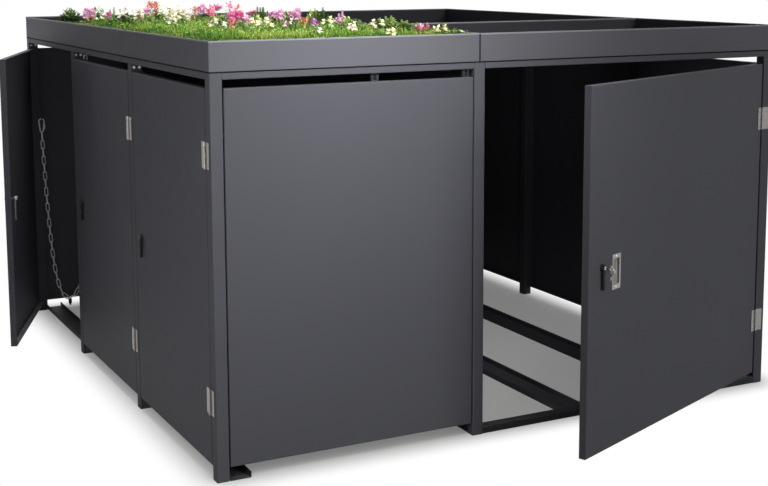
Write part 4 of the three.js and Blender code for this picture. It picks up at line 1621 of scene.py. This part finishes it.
# Flowers and herbs: kind, finish, place across and along the bed in shares,
# rise above the turf and spread in mm
clumps = {
    "columns": ("kind", "finish", "across", "along", "rise", "spread"),
    "rows": (
        ("bush", "darkLeaf", 0.057, 0.765, 64, 48),
        ("bush", "darkLeaf", 0.055, 0.760, 52, 40),
        ("bush", "paleLeaf", 0.055, 0.765, 56, 34),
        ("pom", "palePinkPetal", 0.07, 0.65, 54, 27),
        ("bush", "paleLeaf", 0.16, 0.72, 74, 28),
        ("bush", "darkLeaf", 0.14, 0.71, 68, 22),
        ("daisy", "coralPetal", 0.10, 0.69, 20, 16),
        ("daisy", "limePetal", 0.12, 0.66, 22, 16),
        ("pom", "pinkPetal", 0.08, 0.57, 50, 15),
        ("sprig", "paleLeaf", 0.14, 0.61, 60, 14),
        ("daisy", "creamPetal", 0.13, 0.53, 62, 24),
        ("bush", "darkLeaf", 0.14, 0.52, 52, 30),
        ("bush", "darkLeaf", 0.10, 0.53, 34, 48),
        ("daisy", "whitePetal", 0.15, 0.50, 68, 22),
        ("daisy", "creamPetal", 0.17, 0.49, 62, 24),
        ("pom", "palePinkPetal", 0.19, 0.50, 62, 18),
        ("bush", "paleLeaf", 0.22, 0.51, 56, 34),
        ("spray", "coralPetal", 0.28, 0.56, 80, 26),
        ("bush", "darkLeaf", 0.29, 0.55, 74, 24),
        ("spray", "palePinkPetal", 0.27, 0.58, 78, 16),
        ("daisy", "creamPetal", 0.30, 0.52, 78, 30),
        ("daisy", "creamPetal", 0.31, 0.48, 74, 24),
        ("daisy", "creamPetal", 0.15, 0.31, 50, 18),
        ("daisy", "creamPetal", 0.27, 0.41, 70, 36),
        ("bush", "paleLeaf", 0.27, 0.42, 56, 34),
        ("bush", "darkLeaf", 0.29, 0.45, 68, 30),
        ("spray", "coralPetal", 0.34, 0.43, 74, 10),
        ("pom", "palePinkPetal", 0.47, 0.54, 72, 20),
        ("star", "pinkPetal", 0.52, 0.53, 76, 20),
        ("star", "palePinkPetal", 0.53, 0.53, 66, 12),
        ("star", "pinkPetal", 0.485, 0.52, 62, 12),
        ("spray", "rosePetal", 0.36, 0.37, 60, 14),
        ("daisy", "creamPetal", 0.24, 0.235, 44, 14),
        ("sprig", "paleLeaf", 0.35, 0.34, 56, 14),
        ("bush", "darkLeaf", 0.37, 0.33, 44, 24),
        ("daisy", "whitePetal", 0.23, 0.19, 44, 8),
        ("spray", "pinkPetal", 0.51, 0.45, 84, 10),
        ("spray", "rosePetal", 0.52, 0.43, 74, 18),
        ("bush", "darkLeaf", 0.53, 0.44, 74, 20),
        ("pom", "purplePetal", 0.39, 0.34, 68, 14),
        ("pom", "pinkPetal", 0.39, 0.29, 62, 34),
        ("star", "pinkPetal", 0.38, 0.29, 48, 12),
        ("daisy", "whitePetal", 0.40, 0.28, 58, 14),
        ("spray", "rosePetal", 0.23, 0.16, 44, 10),
        ("spray", "palePinkPetal", 0.32, 0.19, 48, 10),
        ("daisy", "creamPetal", 0.37, 0.225, 56, 13),
        ("sprig", "darkLeaf", 0.60, 0.40, 80, 26),
        ("bush", "darkLeaf", 0.60, 0.40, 66, 20),
        ("bush", "paleLeaf", 0.56, 0.38, 60, 26),
        ("daisy", "limePetal", 0.38, 0.18, 50, 26),
        ("pom", "palePinkPetal", 0.57, 0.30, 62, 26),
        ("bush", "paleLeaf", 0.66, 0.36, 70, 24),
        ("pom", "palePinkPetal", 0.62, 0.28, 64, 20),
        ("daisy", "palePinkPetal", 0.49, 0.19, 50, 15),
        ("bush", "darkLeaf", 0.49, 0.17, 44, 18),
        ("spray", "coralPetal", 0.50, 0.15, 46, 12),
        ("pom", "purplePetal", 0.53, 0.15, 50, 15),
        ("sprig", "darkLeaf", 0.75, 0.30, 72, 22),
        ("bush", "darkLeaf", 0.75, 0.30, 60, 18),
        ("sprig", "paleLeaf", 0.73, 0.31, 68, 20),
        ("bush", "paleLeaf", 0.72, 0.31, 60, 18),
        ("daisy", "limePetal", 0.60, 0.15, 46, 20),
        ("daisy", "whitePetal", 0.43, 0.04, 26, 7),
        ("sprig", "palePinkPetal", 0.78, 0.25, 62, 12),
        ("bush", "paleLeaf", 0.76, 0.22, 52, 26),
        ("bush", "paleLeaf", 0.70, 0.17, 48, 24),
        ("bush", "darkLeaf", 0.75, 0.18, 48, 24),
        ("daisy", "creamPetal", 0.60, 0.07, 36, 21),
        ("daisy", "creamPetal", 0.77, 0.15, 50, 13),
        ("bush", "darkLeaf", 0.79, 0.135, 54, 20),
        ("daisy", "limePetal", 0.73, 0.09, 40, 15),
        ("bush", "paleLeaf", 0.82, 0.12, 50, 28),
        ("sprig", "paleLeaf", 0.81, 0.12, 54, 18),
        ("bush", "paleLeaf", 0.84, 0.10, 42, 24),
        ("bush", "darkLeaf", 0.85, 0.095, 36, 20),
        ("sprig", "paleLeaf", 0.85, 0.10, 42, 18),
        ("daisy", "limePetal", 0.68, 0.015, 16, 17),
        ("sprig", "paleLeaf", 0.85, 0.07, 34, 14),
        ("spray", "rosePetal", 0.85, 0.05, 20, 10),
        ("spray", "pinkPetal", 0.84, 0.055, 20, 10),
        ("bush", "paleLeaf", 0.87, 0.05, 22, 22),
        ("daisy", "limePetal", 0.88, 0.045, 22, 12),
        ("daisy", "limePetal", 0.91, 0.035, 20, 22),
        ("bush", "paleLeaf", 0.94, 0.02, 18, 24),
        ("daisy", "limePetal", 0.95, 0.015, 16, 9),
        ("bush", "paleLeaf", 0.62, 0.55, 46, 60),
        ("daisy", "whitePetal", 0.70, 0.60, 40, 34),
        ("bush", "darkLeaf", 0.80, 0.48, 34, 50),
        ("pom", "palePinkPetal", 0.78, 0.52, 36, 26),
        ("bush", "paleLeaf", 0.40, 0.70, 34, 60),
        ("daisy", "creamPetal", 0.46, 0.68, 36, 34),
        ("pom", "pinkPetal", 0.86, 0.68, 26, 24),
        ("bush", "darkLeaf", 0.66, 0.76, 24, 60),
        ("daisy", "creamPetal", 0.58, 0.80, 20, 36),
        ("bush", "paleLeaf", 0.30, 0.86, 12, 60),
        ("daisy", "whitePetal", 0.76, 0.90, 10, 40),
        ("bush", "paleLeaf", 0.90, 0.30, 30, 36),
        ("daisy", "palePinkPetal", 0.90, 0.36, 26, 16),
    ),
}

scatter = {
    "goldenTurn": 2.39996,
    "turnJitter": 0.4,
    "reachJitter": (0.1, 0.9),
    "inset": 10 * mm,
    "frontInset": 8 * mm,
    "dome": 0.75,
    "riseShare": (0.82, 1.0),
    "leastRise": 8 * mm,
}

herb = {
    "count": 3000,
    "petals": 4,
    "inset": 6 * mm,
    "level": (0.2, 0.75),
    "rise": (-0.1, 0.8),
    "length": (5 * mm, 9 * mm),
    "width": (2.5 * mm, 4.5 * mm),
    "paleShare": 0.6,
}

leaves = {
    "length": (11 * mm, 22 * mm),
    "width": 7 * mm,
    "widthShare": (0.7, 1.1),
    "perArea": 1.2,
    "level": (0.3, 1.0),
    "stray": 0.6,
    "rise": (-0.1, 0.9),
    "sink": 0.8,
    "curl": 0.2,
}

sprig = {
    "pitch": 3.2,
    "least": 3,
    "lean": 8 * mm,
    "stem": 3 * mm,
    "levelPitch": 5 * mm,
    "levelTurn": 0.8,
    "petals": 4,
    "jitter": 0.3,
    "rise": (0.5, 0.8),
    "length": 17 * mm,
    "lengthShares": (1.1, 0.75),
    "width": 5.5 * mm,
}

flower = {
    "perArea": 1.25,
    "lean": (-6 * mm, 6 * mm),
    "leaves": 5,
    "leafLevel": (0.15, 0.7),
    "leafRise": (0.2, 0.9),
    "leafWidth": 5.6 * mm,
}

blossoms = {
    "daisy": {"size": 12 * mm, "petals": 11, "length": 13 * mm, "lengthShare": (0.85, 1.15),
              "width": 8.5 * mm, "faceX": (-0.9, 0.3), "faceY": (-1.7, -0.2), "faceZ": 0.9, "jitter": 0.1,
              "cup": (0.1, 0.6), "heart": 2.8 * mm, "heartPetals": 7, "heartReach": 0.6},
    "pom": {"size": 14 * mm, "petals": 54, "length": 12 * mm, "lengthShare": (0.7, 1.1), "width": 8.5 * mm,
            "core": 6 * mm, "wrap": 1.5, "jitter": 0.3},
    "star": {"size": 18 * mm, "petals": 46, "length": 35 * mm, "lengthShare": (0.6, 1.05), "width": 6.5 * mm,
             "widthShare": (0.7, 1.1), "rise": (0.15, 1.3), "sink": 6 * mm, "curl": 0.2},
    "spray": {"size": 13 * mm, "petals": 44, "length": 12 * mm, "lengthShare": (0.6, 1.1), "width": 6 * mm,
              "widthShare": (0.7, 1.2), "reach": 13 * mm, "spread": 0.5, "stray": 0.3, "rise": 0.4},
}


def spotIn(rand, inset):
    x0, x1, y0, y1 = bedBox
    x = rand.uniform(x0 + inset, x1 - inset)
    return x, rand.uniform(y0 + inset, y1 - inset)


def growGrass(rand, stores):
    shortest, longest = blade["length"]
    scale, layer, middle, swing, least = blade["tuft"]
    deep, pale = blade["toneLimits"]
    for _ in range(blade["count"]):
        x, y = spotIn(rand, blade["inset"])
        tuft = middle + swing * waveAt(x, y, scale, layer)
        size = (shortest + (longest - shortest) * rand.random() * max(least, tuft)) * growthShare(x, y)
        tone = blade["toneShift"] + blade["toneChance"] * rand.random()
        tone += sum(share * waveAt(x, y, *wave) for *wave, share in blade["toneWaves"])
        finish = "deepBlade" if tone < deep else "paleBlade" if tone > pale else "freshBlade"
        root = Vector((x, y, groundHeight(x, y) - blade["root"]))
        height = size * rand.uniform(*blade["lengthShare"])
        lean = size * rand.uniform(*blade["leanShare"])
        heading = rand.uniform(0, 2 * math.pi)
        width = blade["width"] * rand.uniform(*blade["widthShare"])
        addBlade(stores[finish], root, height, lean, heading, width, bend=blade["bend"])


def growHerbs(rand, stores):
    longest = blade["length"][1]
    for _ in range(herb["count"]):
        x, y = spotIn(rand, herb["inset"])
        level = groundHeight(x, y) + rand.uniform(*herb["level"]) * longest * growthShare(x, y)
        finish = "paleLeaf" if rand.random() < herb["paleShare"] else "darkLeaf"
        for _ in range(herb["petals"]):
            ray = rayOf(rand.uniform(0, 2 * math.pi), rand.uniform(*herb["rise"]))
            length = rand.uniform(*herb["length"])
            addPetal(stores[finish], Vector((x, y, level)), ray, length, rand.uniform(*herb["width"]))


def placeIn(clump, k, count, rand):  # the foot of one plant of a clump, its height and its way out
    x0, x1, y0, y1 = bedBox
    spread = clump["spread"] * mm
    jitter = scatter["turnJitter"]
    angle = k * scatter["goldenTurn"] + rand.uniform(-jitter, jitter)
    reach = math.sqrt((k + rand.uniform(*scatter["reachJitter"])) / count)
    x = x0 + (x1 - x0) * clump["across"] + spread * reach * math.cos(angle)
    y = y0 + (y1 - y0) * clump["along"] + spread * reach * math.sin(angle)
    x = min(max(x, x0 + scatter["inset"]), x1 - scatter["inset"])
    y = min(max(y, y0 + scatter["frontInset"]), y1 - scatter["inset"])
    ground = groundHeight(x, y)
    dome = math.sqrt(1 - scatter["dome"] * reach * reach)
    rise = (bed["matTop"] + clump["rise"] * mm - ground) * dome * rand.uniform(*scatter["riseShare"])
    return Vector((x, y, ground)), max(scatter["leastRise"], rise), rayOf(angle, 0) * reach


def growBush(clump, rand, stores):
    count = round(leaves["perArea"] * (clump["spread"] * mm / (leaves["width"] / 2)) ** 2)
    stray = leaves["stray"]
    for k in range(count):
        foot, rise, out = placeIn(clump, k, count, rand)
        spot = foot + Vector((0, 0, rise * rand.uniform(*leaves["level"])))
        off = (rand.uniform(-stray, stray), rand.uniform(-stray, stray), rand.uniform(*leaves["rise"]))
        ray = out + Vector(off)
        length = rand.uniform(*leaves["length"])
        width = leaves["width"] * rand.uniform(*leaves["widthShare"])
        root = spot - ray.normalized() * length * leaves["sink"]
        addPetal(stores[clump["finish"]], root, ray, length, width, curl=leaves["curl"])


def addStem(store, foot, rise, lean):
    addBlade(store, foot, rise, lean.length, math.atan2(lean.y, lean.x), sprig["stem"])


def growSprigs(clump, rand, stores):
    count = max(sprig["least"], round(clump["spread"] / sprig["pitch"]))
    jitter = sprig["jitter"]
    for k in range(count):
        foot, rise, out = placeIn(clump, k, count, rand)
        lean = out * sprig["lean"]
        addStem(stores["darkLeaf"], foot, rise, lean)
        levels = round(rise / sprig["levelPitch"])
        for level in range(1, levels + 1):
            share = level / levels
            spot = foot + lean * share + Vector((0, 0, rise * share))
            length = sprig["length"] * (sprig["lengthShares"][0] - sprig["lengthShares"][1] * share)
            for turn in turnsOf(sprig["petals"]):
                heading = turn + level * sprig["levelTurn"] + rand.uniform(-jitter, jitter)
                ray = rayOf(heading, sprig["rise"][0] + sprig["rise"][1] * share)
                addPetal(stores[clump["finish"]], spot, ray, length, sprig["width"])


def growDaisy(spot, rand, stores, finish, look):
    face = Vector((rand.uniform(*look["faceX"]), rand.uniform(*look["faceY"]), look["faceZ"])).normalized()
    side = face.orthogonal().normalized()
    other = face.cross(side)
    jitter = look["jitter"]
    for turn in turnsOf(look["petals"]):
        angle = turn + rand.uniform(-jitter, jitter)
        ray = side * math.cos(angle) + other * math.sin(angle) + face * rand.uniform(*look["cup"])
        length = look["length"] * rand.uniform(*look["lengthShare"])
        addPetal(stores[finish], spot, ray, length, look["width"])
    for turn in turnsOf(look["heartPetals"]):
        ray = (side * math.cos(turn) + other * math.sin(turn)) * look["heartReach"] + face
        addPetal(stores["yellowHeart"], spot, ray, look["heart"], look["heart"])


def growPom(spot, rand, stores, finish, look):
    jitter = look["jitter"]
    for i in range(look["petals"]):
        z = 1 - look["wrap"] * (i + 0.5) / look["petals"]
        angle = i * scatter["goldenTurn"] + rand.uniform(-jitter, jitter)
        flat = math.sqrt(max(0.0, 1 - z * z))
        ray = Vector((flat * math.cos(angle), flat * math.sin(angle), z))
        length = look["length"] * rand.uniform(*look["lengthShare"])
        addPetal(stores[finish], spot + ray * look["core"], ray, length, look["width"])


def growStar(spot, rand, stores, finish, look):
    root = spot - Vector((0, 0, look["sink"]))
    for i in range(look["petals"]):
        ray = rayOf(i * scatter["goldenTurn"], rand.uniform(*look["rise"]))
        length = look["length"] * rand.uniform(*look["lengthShare"])
        width = look["width"] * rand.uniform(*look["widthShare"])
        addPetal(stores[finish], root, ray, length, width, curl=look["curl"])


def growSpray(spot, rand, stores, finish, look):
    stray = look["stray"]
    for _ in range(look["petals"]):
        off = Vector([rand.gauss(0, look["spread"]) for _ in range(3)])
        ray = off + Vector((rand.uniform(-stray, stray), rand.uniform(-stray, stray), look["rise"]))
        length = look["length"] * rand.uniform(*look["lengthShare"])
        width = look["width"] * rand.uniform(*look["widthShare"])
        addPetal(stores[finish], spot + off * look["reach"], ray, length, width)


growHead = {"daisy": growDaisy, "pom": growPom, "star": growStar, "spray": growSpray}


def growFlowers(clump, rand, stores):
    look = blossoms[clump["kind"]]
    count = max(1, round(flower["perArea"] * (clump["spread"] * mm / look["size"]) ** 2))
    for k in range(count):
        foot, rise, _ = placeIn(clump, k, count, rand)
        lean = Vector((rand.uniform(*flower["lean"]), rand.uniform(*flower["lean"]), 0))
        addStem(stores["paleLeaf"], foot - lean, rise, lean)
        for _ in range(flower["leaves"]):
            heading = rand.uniform(0, 2 * math.pi)
            spot = foot + Vector((0, 0, rise * rand.uniform(*flower["leafLevel"])))
            ray = rayOf(heading, rand.uniform(*flower["leafRise"]))
            addPetal(stores["paleLeaf"], spot, ray, rand.uniform(*leaves["length"]), flower["leafWidth"])
        growHead[clump["kind"]](foot + Vector((0, 0, rise)), rand, stores, clump["finish"], look)


growKind = {"bush": growBush, "sprig": growSprigs}


def buildPlanting():
    names = {
        "freshBlade": "fresh_grass", "paleBlade": "pale_grass", "deepBlade": "deep_grass",
        "darkLeaf": "dark_leaves", "paleLeaf": "pale_leaves", "pinkPetal": "pink_flowers",
        "palePinkPetal": "pale_pink_flowers", "purplePetal": "purple_flowers", "coralPetal": "coral_flowers",
        "creamPetal": "cream_flowers", "whitePetal": "white_flowers", "yellowHeart": "flower_hearts",
        "rosePetal": "rose_flowers", "limePetal": "lime_flowers",
    }
    stores = {finish: ([], []) for finish in names}
    rand = random.Random(bed["seed"])
    growGrass(rand, stores)
    growHerbs(rand, stores)
    rand = random.Random(bed["flowerSeed"])
    for row in clumps["rows"]:
        clump = dict(zip(clumps["columns"], row))
        growKind.get(clump["kind"], growFlowers)(clump, rand, stores)
    for finish, store in stores.items():
        makeFoliage(names[finish], store, finish)


buildTurfMat()
buildPlanting()
print("planting built")
